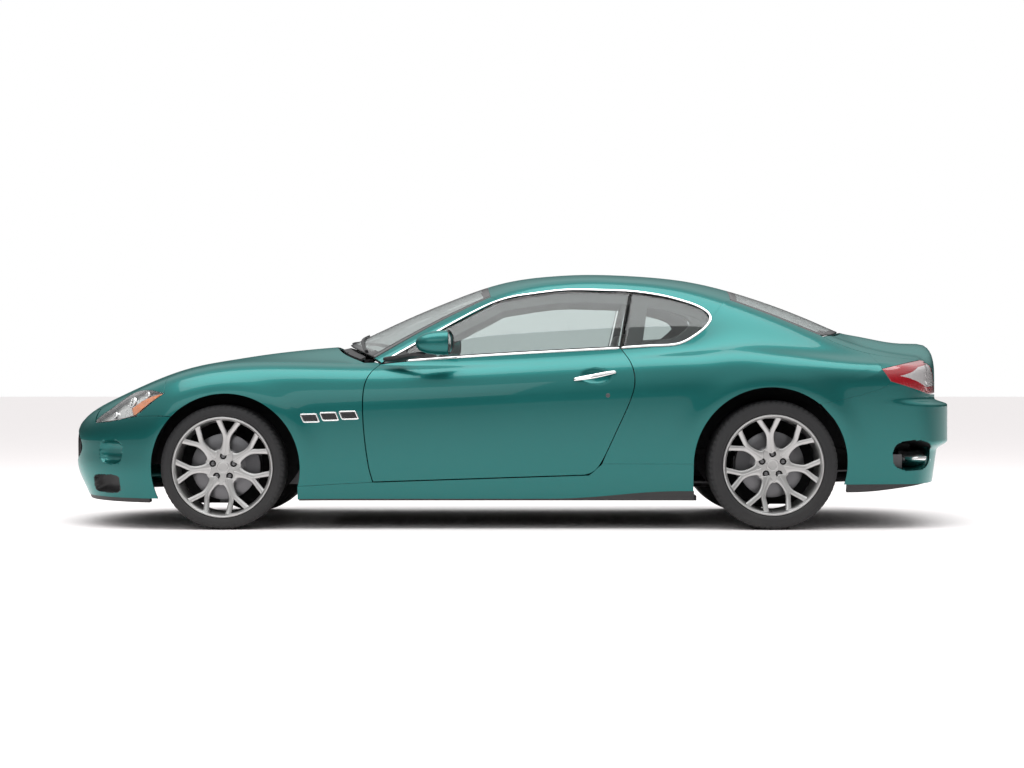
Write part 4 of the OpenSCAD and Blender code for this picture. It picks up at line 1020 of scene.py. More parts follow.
seal_line = even(on_side(quarter_round, 0, 0), 200)
mesh_piece("window_seal", both(strip(seal_line, 9, 8.0, -8.5, shift=-6.5)), SEAL, "body", ("a_pillars", "roof"),
           "black_plastic")
belt_line = even(on_side(bend([[-560, 899], [-480, 905.5], [0, 936.5], [586, 968]], 60), 0, 4), 120)
for side, turn in (("left", lambda p: p), ("right", mirrored)):
    mesh_piece(f"door_belt_trim_{side}", turn(strip(belt_line, CHROME_W, 6.0, -2.5, taper=tips(121, 0.012, 0.4))),
               CHROME,
               f"door_{side}", f"door_{side}", "steel")
    mesh_piece(f"door_belt_seal_{side}", turn(strip(belt_line, 5, 6.0, -2.0, shift=9.0)), SEAL,
               f"door_{side}", f"door_glass_{side}", "black_plastic")

# ---------------------------------------------------------------- wheels
SPOKES, LUGS, LUG_CIRCLE, LUG_PIT = 7, 5, 59.0, 17.0


def hub_of(front):
    """Wheel centre on the car's left, half width of the tyre, and tyre radius."""
    return ((FRONT_HUB[0], -793.0, FRONT_HUB[1]), 122.5, 334.0) if front else ((REAR_HUB[0], -795.0, REAR_HUB[1]),
                                                            142.5, 346.0)


def polar(r, a, out, hub):
    """Points at radius r and angle a from straight up (towards the rear), out along the axle outwards."""
    return np.stack([hub[0] + r * np.sin(a), hub[1] - out + 0 * (r + a), hub[2] + r * np.cos(a)], -1)


def lathe(profile, hub, n=144, ripple=None):
    """Closed outline of (radius, outwards) turned about the axle; ripple(angle, radius, outwards) lowers the radius."""
    prof = np.asarray(profile, float)
    a = np.linspace(0, 2 * math.pi, n, endpoint=False)[:, None] + 0 * prof[None, :, 0]
    r, o = prof[None, :, 0] + 0 * a, prof[None, :, 1] + 0 * a
    if ripple is not None:
        r = r - ripple(a, r, o)
    v = polar(r, a, o, hub).reshape(-1, 3)
    f = quads_of(n + 1, len(prof), True) % (n * len(prof))
    return v, outwards(v, f)


def tyre_part(front):
    """Tyre: bulged sidewalls with rings, four grooves round the tread and slanted cuts across its shoulders."""
    hub, w, r = hub_of(front)
    side = [(256, w - 13), (268, w - 11), (273, w - 8), (277, w - 2.5), (281, w - 2), (286, w - 0.8), (290, w - 0.8),
            (291.5, w), (293, w), (295, w - 0.8), (r - 34, w - 0.5), (r - 26, w - 2.5), (r - 21, w - 4), (r - 19.5,
                                                            w - 6.5),
            (r - 15, w - 8.5), (r - 9, w - 13), (r - 4, w - 21), (r - 1.6, w - 31), (r - 0.6, w - 40)]
    tread = []
    for g in (0.52, 0.18, -0.18, -0.52):
        c, h = g * w, 5.0
        tread += [(r, c + h + 1), (r - 0.6, c + h), (r - 7, c + h - 1.5), (r - 7, c - h + 1.5), (r - 0.6, c - h), (r,
                                                            c - h - 1)]
    prof = side + tread + [(a, -b) for a, b in side[::-1]]
    blocks = 68

    def cuts(a, rr, o):
        near = ease((abs(o) - 0.56 * w) / 3) * ease((rr - (r - 22)) / 4)
        phase = (a * blocks / (2 * math.pi) + abs(o) * 0.012 + (o > 0) * 0.5) % 1
        return 4.5 * near * (abs(phase - 0.5) < 0.10)
    return lathe(prof, hub, blocks * 8, cuts)


def half_spoke(front, turn, way):
    """Half of a forked spoke: a grid between the spoke's middle (then the notch) and its flank, crowned to the edges."""
    hub, w, _ = hub_of(front)
    n, m = 30, 9
    a = bend([(0, 60), (0, 84), (0, 108), (0, 132), (0, 154), (0, 172), (2.5, 188), (13.5, 207), (26.5, 230), (39,
                                                            253)], n)
    b = bend([(41, 84), (30, 93), (23.5, 108), (20, 130), (20, 150), (24, 170), (33, 188), (46, 208), (60, 231), (74,
                                                            249)], n)
    t = np.linspace(0, 1, m)[None, :, None]
    uv = a[:, None] * (1 - t) + b[:, None] * t
    r = np.hypot(uv[..., 0], uv[..., 1])
    split = ease((np.linspace(0, 1, n + 1) - 0.55) / 0.14)[:, None]
    q = t[..., 0]
    roll = q**5 + split * (1 - q)**5 + 0.25 * (q**2 + split * (1 - q)**2)
    hub_o, rim_o = (80, w - 21) if front else (90, w - 24)
    face = hub_o + (rim_o - hub_o) * (r / 250)**2.2
    a0 = np.arctan2(way * uv[..., 0], uv[..., 1]) + turn
    top = polar(r, a0, face - 4.0 * roll, hub)
    back = polar(r, a0, face - 30 + 4 * ease((r - 200) / 60), hub)
    return plate(top, back)


HUB_FACE = {True: 80.5, False: 90.5}
PIT_DEPTH = 17


def hub_face(front):
    """Hub: a disc whose face carries five round pits for the nuts and a low cap in the middle."""
    hub, w, _ = hub_of(front)
    n, k = 210, 64
    r = np.concatenate([np.linspace(0.01, 96, k), [96.5, 96.5, 0.01]])[:, None]
    a = np.linspace(0, 2 * math.pi, n, endpoint=False)[None, :]
    o0 = HUB_FACE[front]
    o = o0 - 2.5 * (r / 96)**6 - 2 + 2 * (r / 96)**2 + 0 * a
    u, v = r * np.sin(a), r * np.cos(a)
    pit = 0 * u
    for i in range(LUGS):
        d = np.hypot(u - LUG_CIRCLE * math.sin(i * 2 * math.pi / LUGS),
                     v - LUG_CIRCLE * math.cos(i * 2 * math.pi / LUGS))
        pit = np.maximum(pit, 1 - ease((d - LUG_PIT + 1.5) / 3.5))
    o = o - 15 * pit
    o = o - 2.5 * ((r > 32.5) & (r < 35)) + 1.2 * (1 - ease((r - 28) / 5)) - 1.0 * (1 - ease((r - 22) / 4))
    o[-2], o[-1] = o0 - 30, o0 - 30
    v = polar(r + 0 * a, a + 0 * r, o, hub)
    rows, cols = v.shape[:2]
    f = quads_of(rows, cols, True)
    index = np.zeros(len(f), int)
    p = (pit[:-1] + pit[1:]) / 2
    index[:] = (p > 0.3).reshape(-1)
    v = v.reshape(-1, 3)
    return (v, outwards(v, f)), index


def lug_nut(front, i):
    """A six-sided nut with a domed end, standing in its pit."""
    hub, w, _ = hub_of(front)
    o = HUB_FACE[front] - PIT_DEPTH
    prof = np.array([(0.01, 0), (9.6, 0), (9.6, 12.5), (8.9, 13.6), (7.4, 14.0), (6.8, 16.0), (4.6, 17.4), (0.01, 18)])
    a = np.linspace(0, 2 * math.pi, 24, endpoint=False)[:, None]
    six = 1 / np.maximum(np.cos((a + 0.0) % (math.pi / 3) - math.pi / 6), 0.5)
    r, z = prof[None, :, 0] * np.where(prof[None, :, 0] > 9, six, 1), prof[None, :, 1] + 0 * a
    b = i * 2 * math.pi / LUGS
    p = np.stack([hub[0] + LUG_CIRCLE * math.sin(b) + r * np.sin(a), hub[1] - o - z,
                  hub[2] + LUG_CIRCLE * math.cos(b) + r * np.cos(a)], -1)
    v = p.reshape(-1, 3)
    f = quads_of(25, len(prof), True) % (24 * len(prof))
    return v, outwards(v, f)


def barrel_part(front):
    """Rim barrel: bright outer lip, drop centre and inner flange."""
    hub, w, _ = hub_of(front)
    e = w - 4
    prof = [(268.5, e - 1.5), (266, e), (262.5, e), (260, e - 2), (258.5, e - 5), (255, e - 9), (251.5, e - 16),
            (249.5, e - 30),
            (247, e - 60), (243, 0), (242, -w * 0.5), (247, -e + 18), (256, -e + 7), (263, -e), (268.5, -e), (270,
                                                            -e + 3),
            (270, -e + 9), (257, -e + 16), (255.5, -e + 30), (252, -20), (251, 20), (254, e - 40), (255.5, e - 18),
            (259, e - 12),
            (270, e - 10), (270, e - 3)]
    return lathe(prof, hub, 144)


def disc_part(front):
    """Vented brake disc: two rings with radial vanes between them, and its bell."""
    hub, w, _ = hub_of(front)
    prof = [(30, 29), (74, 29), (77.5, 27), (78, 13.5), (106, 13.0), (176.5, 13.0), (178, 12.0), (178, 3.5), (168,
                                                            3.5), (168, -5.5),
            (178, -5.5), (178, -14), (176.5, -15), (104, -15), (30, -15)]

    def vanes(a, r, o):
        return -9.0 * ((r < 170) & (r > 160) & ((a * 36 / (2 * math.pi)) % 1 < 0.4))
    return lathe(prof, hub, 288, vanes)


def wheel_pieces(front):
    """Spokes, hub face with the map of its nut pits, lug nuts and valve of a left wheel as shells."""
    turn = math.radians(7 if front else -5.5)
    spokes = [half_spoke(front, turn + i * 2 * math.pi / SPOKES, way) for i in range(SPOKES) for way in (1, -1)]
    face, pits = hub_face(front)
    nuts = together(*[lug_nut(front, i) for i in range(LUGS)])
    hub, w, _ = hub_of(front)
    a = math.radians(188 + (7 if front else -5.5))
    c = polar(np.array(244.0), np.array(a), w - 22.0, hub)
    stem = np.array([(0.01, 0), (4.0, 0), (4.0, 9), (3.4, 10), (3.2, 22), (2.6, 23), (0.01, 23)])
    b = np.linspace(0, 2 * math.pi, 16, endpoint=False)[:, None]
    v = np.stack([c[0] + stem[None, :, 0] * np.sin(b), c[1] - stem[None, :, 1] + 12 + 0 * b, c[2] + stem[None, :,
                                                            0] * np.cos(b)], -1).reshape(-1, 3)
    valve = (v, outwards(v, quads_of(17, len(stem), True) % (16 * len(stem))))
    return spokes, face, pits, nuts, valve


for end, front in (("front", True), ("rear", False)):
    spokes, face, pits, nuts, valve = wheel_pieces(front)
    tyre, barrel, disc = tyre_part(front), barrel_part(front), disc_part(front)
    for side, turn_over in (("left", lambda p: p), ("right", mirrored)):
        body_name, tag = f"wheel_{end}_{side}", f"{end}_{side}"
        mesh_piece(f"tyre_tread_{tag}", turn_over(tyre), RUBBER, body_name, f"tyre_{tag}", "tyre")
        mesh_piece(f"rim_barrel_{tag}", turn_over(barrel), ALLOY, body_name, f"rim_{tag}", "alloy")
        mesh_piece(f"spokes_{tag}", turn_over(together(*spokes)), ALLOY, body_name, f"rim_{tag}", "alloy")
        mesh_piece(f"hub_face_{tag}", turn_over(face), None, body_name, f"rim_{tag}", "alloy", materials=[ALLOY,
                                                            BLACK], index=pits)
        # lug nuts and brake discs take the darkened steel, whose dark base is painted shade
        mesh_piece(f"lug_nuts_{tag}", turn_over(nuts), STEEL_DARKENED_FOR_SHADE, body_name, f"rim_{tag}", "steel", smooth=False)
        mesh_piece(f"valve_{tag}", turn_over(valve), BLACK, body_name, f"rim_{tag}", "black_plastic")
        mesh_piece(f"brake_disc_{tag}", turn_over(disc), STEEL_DARKENED_FOR_SHADE, body_name, f"disc_{tag}", "steel")

# ---------------------------------------------------------------- lamps
def lens_piece(name, grid, material, rides, node, slot, depth=4.0, lift=0.0):
    """A lamp's clear cover or coloured field on both sides of the car."""
    g = sunk(grid, -lift) if lift else grid
    return mesh_piece(name, both(shell(g, depth)), material, rides, node, slot)


def inset(grid, u0, u1, v0, v1, depth, n=24, m=16):
    """Part of a grid between two shares each way, sunk to a depth: bilinear between the grid's points."""
    u, v = np.meshgrid(np.linspace(u0, u1, m), np.linspace(v0, v1, n))
    return sunk(sample(grid, u, v), depth)


low = chain(on_side(lamp_low, 0, 2 * SEAM), on_side(lamp_rear, -SEAM))
d = np.zeros((LAMP_END + 1, 2))
d[-1, 0] = -SEAM
up = refit("barrel", on_top(hood_edge[:LAMP_END + 1] + d, 0, -GAP), len(low) - 1)
lamp_crest = on_side(bend([[-2264, 582], [-2222, 612], [-2168, 645], [-2109, 689], [-2060, 722], [-2009, 741], [-1940,
                                                            745],
                           [-1880, 734]], len(low) - 1))
lamp_crest[0], lamp_crest[-1] = low[0] + [0, 0, 0.8], low[-1] + [0, 0, 0.8]
head = patch("barrel", low, lamp_crest, run("barrel", low[0], lamp_crest[0], 5), run("barrel", low[-1],
                                                            lamp_crest[-1], 5))
brow_low = lamp_crest + [0, 0, SEAM]
brow_low = hit("barrel", *unray("barrel", brow_low).T)
brow = patch("barrel", brow_low, up, run("barrel", brow_low[0], up[0], 4), run("barrel", brow_low[-1], up[-1], 4))
painted("lamp_brow", both(shell(brow, SKIN)), "body", "headlamps")
rim_line = lambda g: np.concatenate([g[0], g[1:, -1], g[-1, -2::-1], g[-2:0:-1, 0]])
lens_piece("headlamp_cover", head, LENS, "body", "headlamps", "lamp", 3.0)
mesh_piece("headlamp_housing", both(shell(sunk(head, 30), 4)), REFLECTOR, "body", "headlamps", "lamp")
bezel = strip(even(rim_line(head), 160), 9, 20.0, -23.0, shift=0.0, close=True)
mesh_piece("headlamp_bezel", both(bezel), GLOSS_BLACK, "body", "headlamps", "black_plastic")
amber = inset(head, 0.50, 0.97, 0.04, 0.30, 4.5)
mesh_piece("turn_signal", both(shell(amber, 5)), AMBER, "body", "headlamps", "lamp")


def projector(centre, axis, r, length):
    """A projector lamp: a bright ring round a domed lens, turned about its own axis."""
    axis = np.array(axis, float) / np.linalg.norm(axis)
    side = np.cross(axis, [0, 0, 1.0])
    side /= np.linalg.norm(side)
    third = np.cross(side, axis)
    ring = np.array([(r * 0.99, -length), (r, -length), (r, 0), (r - 2, 3), (r - 6, 3), (r - 8, -2), (r - 9, -length)])
    dome = np.array([(0.01, 5), (r * 0.35, 4), (r * 0.6, 1), (r - 9.2, -4), (r - 9.2, -9), (0.01, -9)])
    parts = []
    for prof in (ring, dome):
        t = np.linspace(0, 2 * math.pi, 48, endpoint=False)[:, None]
        rr, o = prof[None, :, 0], prof[None, :, 1] + 0 * t
        p = (np.array(centre)[None, None] + (rr * np.cos(t))[..., None] * side + (rr * np.sin(t))[..., None] * third
             + o[..., None] * axis)
        v = p.reshape(-1, 3)
        parts.append((v, outwards(v, quads_of(49, len(prof), True) % (48 * len(prof)))))
    return parts


rings, domes = [], []
for u, v, r in ((0.52, 0.62, 33), (0.76, 0.66, 22), (0.27, 0.50, 20)):
    spot = sunk(sample(head, np.array([u]), np.array([v])), 20)[0]
    a, b = projector(spot, (-0.86, -0.45, 0.25), r, 26)
    rings.append(a)
    domes.append(b)
mesh_piece("projector_rings", both(together(*rings)), CHROME, "body", "headlamps", "lamp")
mesh_piece("projector_lenses", both(together(*domes)), LENS, "body", "headlamps", "lamp")

inner = lid_drop.copy()
inner_q = unray("tail", inner) + [1.2, 0]
inner = hit("tail", inner_q[:, 0], inner_q[:, 1])
front = np.concatenate([on_side(lamp_front[::-1], SEAM)])
upper = on_side(bend(lamp_top[::-1], 8 * FINE), 0, -2 * SEAM)
lower = on_side(lamp_under, 0, SEAM)
corner = hit("tail", 41.2, 724 + SEAM)
lower = chain(lower, run("tail", lower[-1], corner, 2))
n = 8 * FINE
upper = chain(upper, run("tail", upper[-1], inner[0], 2))
tail = patch("tail", refit("tail", lower, n), refit("tail", upper, n),
             refit("tail", np.concatenate([lower[:1], front[1:-1], upper[:1]]), 12),
             refit("tail", np.concatenate([lower[-1:], inner[::-1][1:-1], upper[-1:]]), 12))


def tail_mask(grid):
    """Which faces of the tail lamp lie in its clear three-cornered field."""
    n, m = grid.shape[:2]
    v, u = np.meshgrid((np.arange(n - 1) + 0.5) / (n - 1), (np.arange(m - 1) + 0.5) / (m - 1), indexing="ij")
    return (abs(v - 0.47) < 0.29 * np.clip((u - 0.15) / 0.42, 0, 1)) & (u < 0.94)


count = (tail.shape[0] - 1) * (tail.shape[1] - 1)


def two_tone(grid, mask, depth):
    """A shell on both sides with a second finish where the mask is set."""
    v, f = shell(grid, depth)
    index = np.zeros(len(f), int)
    k = mask.reshape(-1).astype(int)
    index[:len(k)] = k
    return together((v, f), mirrored((v, f))), np.concatenate([index, index])


fine_tail = sample(tail, *np.meshgrid(np.linspace(0, 1, 121), np.linspace(0, 1, 61)))
part, index = two_tone(fine_tail, tail_mask(fine_tail), 5)
mesh_piece("tail_lamp_lens", part, None, "body", "tail_lamps", "red_lamp", materials=[RED, CLEAR_RED], index=index)
mesh_piece("tail_lamp_bezel", both(strip(even(rim_line(tail), 120), 5, 14.0, -14.5, close=True)), GLOSS_BLACK, "body",
           "tail_lamps",
           "black_plastic")

# ---------------------------------------------------------------- side vents, handles, locks
def framed(corners, n=64):
    """A rounded outline of a slanted four-sided opening on the flank, as points on the surface."""
    c = np.array(corners, float)
    t = np.linspace(0, 4, n, endpoint=False)
    i = t.astype(int)
    f = (t - i)[:, None]
    p = c[i] * (1 - f) + c[(i + 1) % 4] * f
    for _ in range(3):
        p = (np.roll(p, 1, 0) + 2 * p + np.roll(p, -1, 0)) / 4
    return on_side(p)


def filled(loop, depth, t=2.0):
    """The inside of a closed outline as a plate: rings drawn in to its middle, sunk to a depth."""
    c = loop.mean(0)
    k = np.linspace(0.02, 1, 8)[:, None, None]
    g = c + (loop[None] - c) * k
    g = sunk(g, depth)
    return plate(g, sunk(g, t), True)


vent_corners = [[(-1124, 617), (-1040, 619), (-1023, 577), (-1105, 575)], [(-1020, 625), (-936, 627), (-920, 586),
                                                            (-1003, 584)],
                [(-918, 632), (-832, 634), (-814, 593), (-901, 591)]]
frames, mouths, slats = [], [], []
for c in vent_corners:
    loop = framed(c)
    frames.append(strip(loop, 7.5, 4.5, -1.5, close=True))
    mouths.append(filled(loop, -0.6))
    for k in (0.3, 0.5, 0.7):
        a = np.array(c[0]) * (1 - k) + np.array(c[3]) * k
        b = np.array(c[1]) * (1 - k) + np.array(c[2]) * k
        slats.append(strip(on_side(straight(a + (b - a) * 0.1, b - (b - a) * 0.1, 12)), 3.0, 2.0, 0.8, taper=tips(13,
                                                            0.1)))
mesh_piece("vent_frames", both(together(*frames)), CHROME, "body", "front_fenders", "steel")
mesh_piece("vent_mouths", both(together(*mouths)), BLACK, "body", "front_fenders", "black_plastic")
mesh_piece("vent_slats", both(together(*slats)), GLOSS_BLACK, "body", "front_fenders", "black_plastic")

t = np.linspace(0, 1, 40)
grip = on_side(np.stack([333 + 228 * t, 801 + 41 * t - 6 * np.sin(math.pi * t)], -1))
lift = 17 * np.sin(math.pi * np.clip(t * 1.02, 0, 1))**0.5
grip = grip + normals(grip) * lift[:, None]
handle = strip(grip, 25, 13, -3.0, taper=0.35 + 0.65 * np.sin(math.pi * (0.08 + 0.84 * t))**0.6)
lock_loop = on_side(np.stack([517 + 10 * np.cos(np.linspace(0, 2 * math.pi, 32, endpoint=False)),
                              718 + 10 * np.sin(np.linspace(0, 2 * math.pi, 32, endpoint=False))], -1))
for side, turn in (("left", lambda p: p), ("right", mirrored)):
    where = f"door_{side}"
    mesh_piece(f"handle_{side}", turn(handle), CHROME, where, where, "steel")
    mesh_piece(f"lock_{side}", turn(together(filled(lock_loop, -1.0), strip(lock_loop, 3, 2.0, -0.5, close=True))),
               STEEL_DARKENED_FOR_SHADE,
               where, where, "steel")

# ---------------------------------------------------------------- lower black mouldings
x = np.linspace(-1135, 980, 90)
top_z = 163 + 42 * ease((x - 150) / 830)
rows = np.linspace(0, 1, 5)[:, None]
sill_strip = hit("side", x[None] + 0 * rows, 154 + (top_z[None] - 154) * rows)
mesh_piece("sill_strip", both(plate(sunk(sill_strip, -1.6), sunk(sill_strip, 8))), BLACK, "body", "sills",
           "black_plastic", bevel=1.5)

a0 = unray("nose", on_side([[-1938, 166]])[0])[0]
a = np.linspace(a0, -a0, 160)
rows = np.linspace(0, 1, 6)[:, None]
lip = hit("nose", a[None] + 0 * rows, 141 + 25 * rows)
mesh_piece("front_lip", plate(sunk(lip, 3 + 0 * rows[..., None]), sunk(lip, 30)), BLACK, "body", "front_bumper",
           "black_plastic", bevel=3)

a0 = unray("tail", on_side([[1800, 240]])[0])[0]
a = np.linspace(a0, -a0, 160)
z0 = 196 + 46 * (1 - ease((abs(a) - 0.55 * a0) / (0.45 * a0)))
valance = hit("tail", a[None] + 0 * rows, z0[None] + (244 - z0[None]) * rows)
mesh_piece("rear_valance", plate(sunk(valance, 2.5), sunk(valance, 22)), BLACK, "body", "rear_bumper",
           "black_plastic", bevel=3)

# ---------------------------------------------------------------- tailpipes
def pipe(y, r=54.0, x0=2110.0, x1=2284.0, z=372.0):
    """Bright rounded tailpipe: a double-walled tube with a rolled lip."""
    prof = np.array([(r - 4, x0), (r, x0), (r, x1 - 8), (r - 1, x1 - 3), (r - 4, x1), (r - 7, x1 - 2), (r - 8,
                                                            x1 - 8), (r - 8, x0)])
    t = np.linspace(0, 2 * math.pi, 64, endpoint=False)[:, None]
    px = prof[None, :, 1] + 0 * t
    p = np.stack([px, y + prof[None, :, 0] * 1.15 * np.cos(t), z + prof[None, :, 0] * 0.86 * np.sin(t)], -1)
    v = p.reshape(-1, 3)
    return v, outwards(v, quads_of(65, len(prof), True) % (64 * len(prof)))


mesh_piece("tailpipes", both(pipe(-617.0)), CHROME, "body", (), "steel")

# ---------------------------------------------------------------- mirrors
def mirror_shell():
    """Mirror housing: a superellipsoid drawn out rearwards, flat behind."""
    u = np.linspace(0, 2 * math.pi, 64, endpoint=False)[None, :]
    w = np.linspace(0, 1, 28)[:, None]
    x = -509 + 176 * w
    grow = (1 - (1 - w)**2.6)**(1 / 2.2)
    c, s = np.cos(u), np.sin(u)
    y = -952 + 8 * w + 84 * grow * np.sign(c) * abs(c)**0.85
    z = 1000 - 5 * (1 - w) + 66 * grow * np.sign(s) * abs(s)**0.82 * np.where(s > 0, 1, 0.98)
    lean = 26 * (c > 0) * c * w
    return np.stack([x + lean + 0 * u, y + 0 * w, z + 0 * w], -1)


m_out = mirror_shell()
m_out = m_out[:, ::-1]
centre = np.array([-430.0, -948, 1000])
m_in = centre + (m_out - centre) * 0.95
m_in[:, :, 0] = m_out[:, :, 0] + 3 * (1 - np.linspace(0, 1, 28)[:, None])
closed = plate(m_out, m_in, True)
back = m_out[-1]
k = np.linspace(0.0, 0.94, 7)[:, None, None]
c0 = back.mean(0)
glass_grid = c0 + (back[None] - c0) * k + [-7, 0, 0]
k2 = np.linspace(0.93, 1.0, 3)[:, None, None]
rim_grid = c0 + (back[None] - c0) * k2
arm_t = np.linspace(0, 1, 14)
arm_path = np.stack([-640 + 150 * arm_t, -800 - 108 * arm_t, 912 + 28 * arm_t], -1)
arm_u, arm_v = np.tile([0.8, 0.1, 0.0], (14, 1)), np.tile([0.0, 0.0, 1.0], (14, 1))
arm = swept(arm_path, arm_u * (1.3 - 0.45 * arm_t)[:, None], arm_v * (0.9 - 0.25 * arm_t)[:, None], oval(96, 34, 20,
                                                            2.6, -17))
s_low = on_side(straight([-688, 889], [-566, 902], 12))
s_up = on_side(straight([-688, 893], [-566, 962], 12))
sail = patch("side", s_low, s_up, on_side(straight([-688, 889], [-688, 893], 6)), on_side(straight([-566, 902], [-566,
                                                            962], 6)))
for side, turn in (("left", lambda p: p), ("right", mirrored)):
    where, node = f"door_{side}", f"mirror_{side}"
    mesh_piece(f"mirror_shell_{side}", turn(closed), PAINT, where, node, "paint")
    mesh_piece(f"mirror_rim_{side}", turn(plate(rim_grid + [1.5, 0, 0], rim_grid + [-6, 0, 0], True)), BLACK, where,
               node, "black_plastic")
    mesh_piece(f"mirror_glass_{side}", turn(plate(glass_grid, glass_grid + [-3, 0, 0], True)), CHROME, where, node,
               "glass")
    mesh_piece(f"mirror_arm_{side}", turn(together(arm, shell(sunk(sail, -1.0), 14))), BLACK, where, node,
               "black_plastic")

# ---------------------------------------------------------------- grille
mouth_t = np.linspace(0, 2 * math.pi, 160, endpoint=False)
mouth_loop = hit("nose", 36 * np.cos(mouth_t), 432 + 105 * np.sin(mouth_t))
mesh_piece("grille_surround", strip(mouth_loop, 9, 7.0, -7.8, close=True), CHROME, "body", "front_bumper", "steel")
slats = []
for a in np.linspace(-31.5, 31.5, 15):
    reach = 101 * math.sqrt(1 - (a / 37.5)**2)
    path = sunk(hit("nose", np.full(24, a), 432 + reach * np.linspace(-1, 1, 24)), 9)
    slats.append(strip(path, 7, 11, -5.5))
mesh_piece("grille_slats", together(*slats), GLOSS_BLACK, "body", (), "black_plastic")

# ---------------------------------------------------------------- cabin
head_cloth = sample(roof_grid, *np.meshgrid(np.linspace(0.04, 0.96, 60), np.linspace(0.03, 0.97, 40)))
mesh_piece("headlining", shell(sunk(head_cloth, 24), 3), CLOTH, "body", "roof", "trim")
mesh_piece("pillar_trim", both(shell(sunk(sample(pillar, *np.meshgrid(np.linspace(0, 1, 30), np.linspace(0.02, 0.98,
                                                            8))), 16), 5)), TRIM,
           "body", "a_pillars", "trim")
rail_band = np.concatenate([pillar_low + [14, -22], rail[2 * FINE:] + [0, -30]])
mesh_piece("cant_rail_trim", both(strip(even(on_side(rail_band[:-6]), 90), 62, 9, -38, power=4)), TRIM, "body",
           "roof", "trim")
v = np.linspace(0, 1, 20)[:, None]
u = np.linspace(0, 1, 8)[None, :]
post = hit("side", 596 + 66 * v + 108 * u - 16 * u * v, 962 + 318 * v + 0 * u)
mesh_piece("centre_post_trim", both(shell(sunk(post, 26), 8)), TRIM, "body", "roof", "trim", bevel=2)
loop = np.concatenate([quarter_pane[0], quarter_pane[1:, -1], quarter_pane[-1, -2::-1], quarter_pane[-2:0:-1, 0]])
loop = even(np.concatenate([loop, loop[:1]]), 120)[:-1]
mid = loop.mean(0)
k = np.linspace(0.60, 1.02, 8)[:, None, None]
ring = mid + (loop[None] - mid) * k
ring[..., 1] = hit("side", ring[..., 0], ring[..., 2])[..., 1]
mesh_piece("quarter_lining", both(plate(sunk(ring, 30), sunk(ring, 38), True)), TRIM, "body", "rear_quarters", "trim")


def pad(path, lateral, half, thick, bolster, n=44, channels=0, tip=0.16):
    """A padded panel: superellipse sections along a path, raised bolsters at its sides, channels sewn across it."""
    p = bend(path, n)
    t = np.gradient(p, axis=0)
    t /= np.linalg.norm(t, axis=1, keepdims=True)
    lat = np.array(lateral, float)
    nrm = np.cross(t, lat)
    m = 56
    a = np.linspace(0, 2 * math.pi, m, endpoint=False)
    c, s = np.cos(a), np.sin(a)
    x = np.sign(c) * abs(c)**0.55
    z = np.sign(s) * abs(s)**0.7
    lobe = ease((abs(x) - 0.58) / 0.2) * (z > 0)
    seam = np.exp(-((abs(x) - 0.60) / 0.03)**2) * (z > 0)
    w = np.linspace(0, 1, n + 1)
    end = tips(n + 1, tip, 0.35)[:, None]
    groove = 0 * w
    for k in range(channels):
        groove += np.exp(-((w - (k + 1) / (channels + 1)) / 0.011)**2)
    top = 1 + bolster * lobe[None] * end - 0.10 * seam[None] - 0.10 * groove[:,
                                                            None] * (abs(x) < 0.60)[None] * (z > 0)[None]
    side = half * (0.90 + 0.10 * end)
    q = (p[:, None] + lat[None, None] * (x[None] * side)[..., None]
         + nrm[:, None] * (z[None] * top * thick / 2 * end)[..., None])
    vv = np.concatenate([q.reshape(-1, 3), q[0].mean(0)[None], q[-1].mean(0)[None]])
    i = np.arange(m)
    j = (i + 1) % m
    e0 = np.stack([j, i, i * 0 + (n + 1) * m, i * 0 + (n + 1) * m], -1)
    e1 = np.stack([n * m + i, n * m + j, i * 0 + (n + 1) * m + 1, i * 0 + (n + 1) * m + 1], -1)
    return vv, outwards(vv, np.concatenate([quads_of(n + 1, m, True), e0, e1]))


def seat_pads(y):
    """Cushion, back and head restraint of a front seat."""
    right = (0, 1, 0)
    cushion = pad([(-58, y, 330), (60, y, 335), (220, y, 325), (415, y, 318)], right, 238, 138, 0.28, channels=5)
    rest = pad([(640, y, 878), (604, y, 760), (545, y, 560), (470, y, 345), (450, y, 285)], right, 222, 118, 0.42,
               channels=7)
    head = pad([(655, y, 1040), (640, y, 1010), (625, y, 950), (622, y, 912)], right, 128, 92, 0.06, tip=0.3)
    return cushion, rest, head


for label, y in (("left", -400.0), ("right", 400.0)):
    for what, part in zip(("cushion", "back", "headrest"), seat_pads(y)):
        piece = mesh_piece(f"seat_{what}_{label}", part, LEATHER, "body", "front_seats", "leather", subsurf=1)
for label, y in (("left", -290.0), ("right", 290.0)):
    cushion = pad([(810, y, 470), (900, y, 482), (1060, y, 470), (1225, y, 455)], (0, 1, 0), 255, 118, 0.2, channels=4)
    rest = pad([(1395, y, 965), (1362, y, 860), (1300, y, 640), (1248, y, 470)], (0, 1, 0), 245, 96, 0.3, channels=6)
    for what, part in (("cushion", cushion), ("back", rest)):
        piece = mesh_piece(f"rear_seat_{what}_{label}", part, LEATHER, "body", "rear_seats", "leather", subsurf=1)

# steering wheel
WHEEL_AT, TILT = np.array([-330.0, -380.0, 835.0]), math.radians(65)
wx, wy, wz = (np.array([math.cos(TILT), 0, -math.sin(TILT)]), np.array([0, 1.0, 0]),
              np.array([math.sin(TILT), 0, math.cos(TILT)]))


def on_wheel(p):
    """Points in the steering wheel's own axes, put on its column."""
    return WHEEL_AT + p[..., :1] * wx + p[..., 1:2] * wy + p[..., 2:] * wz


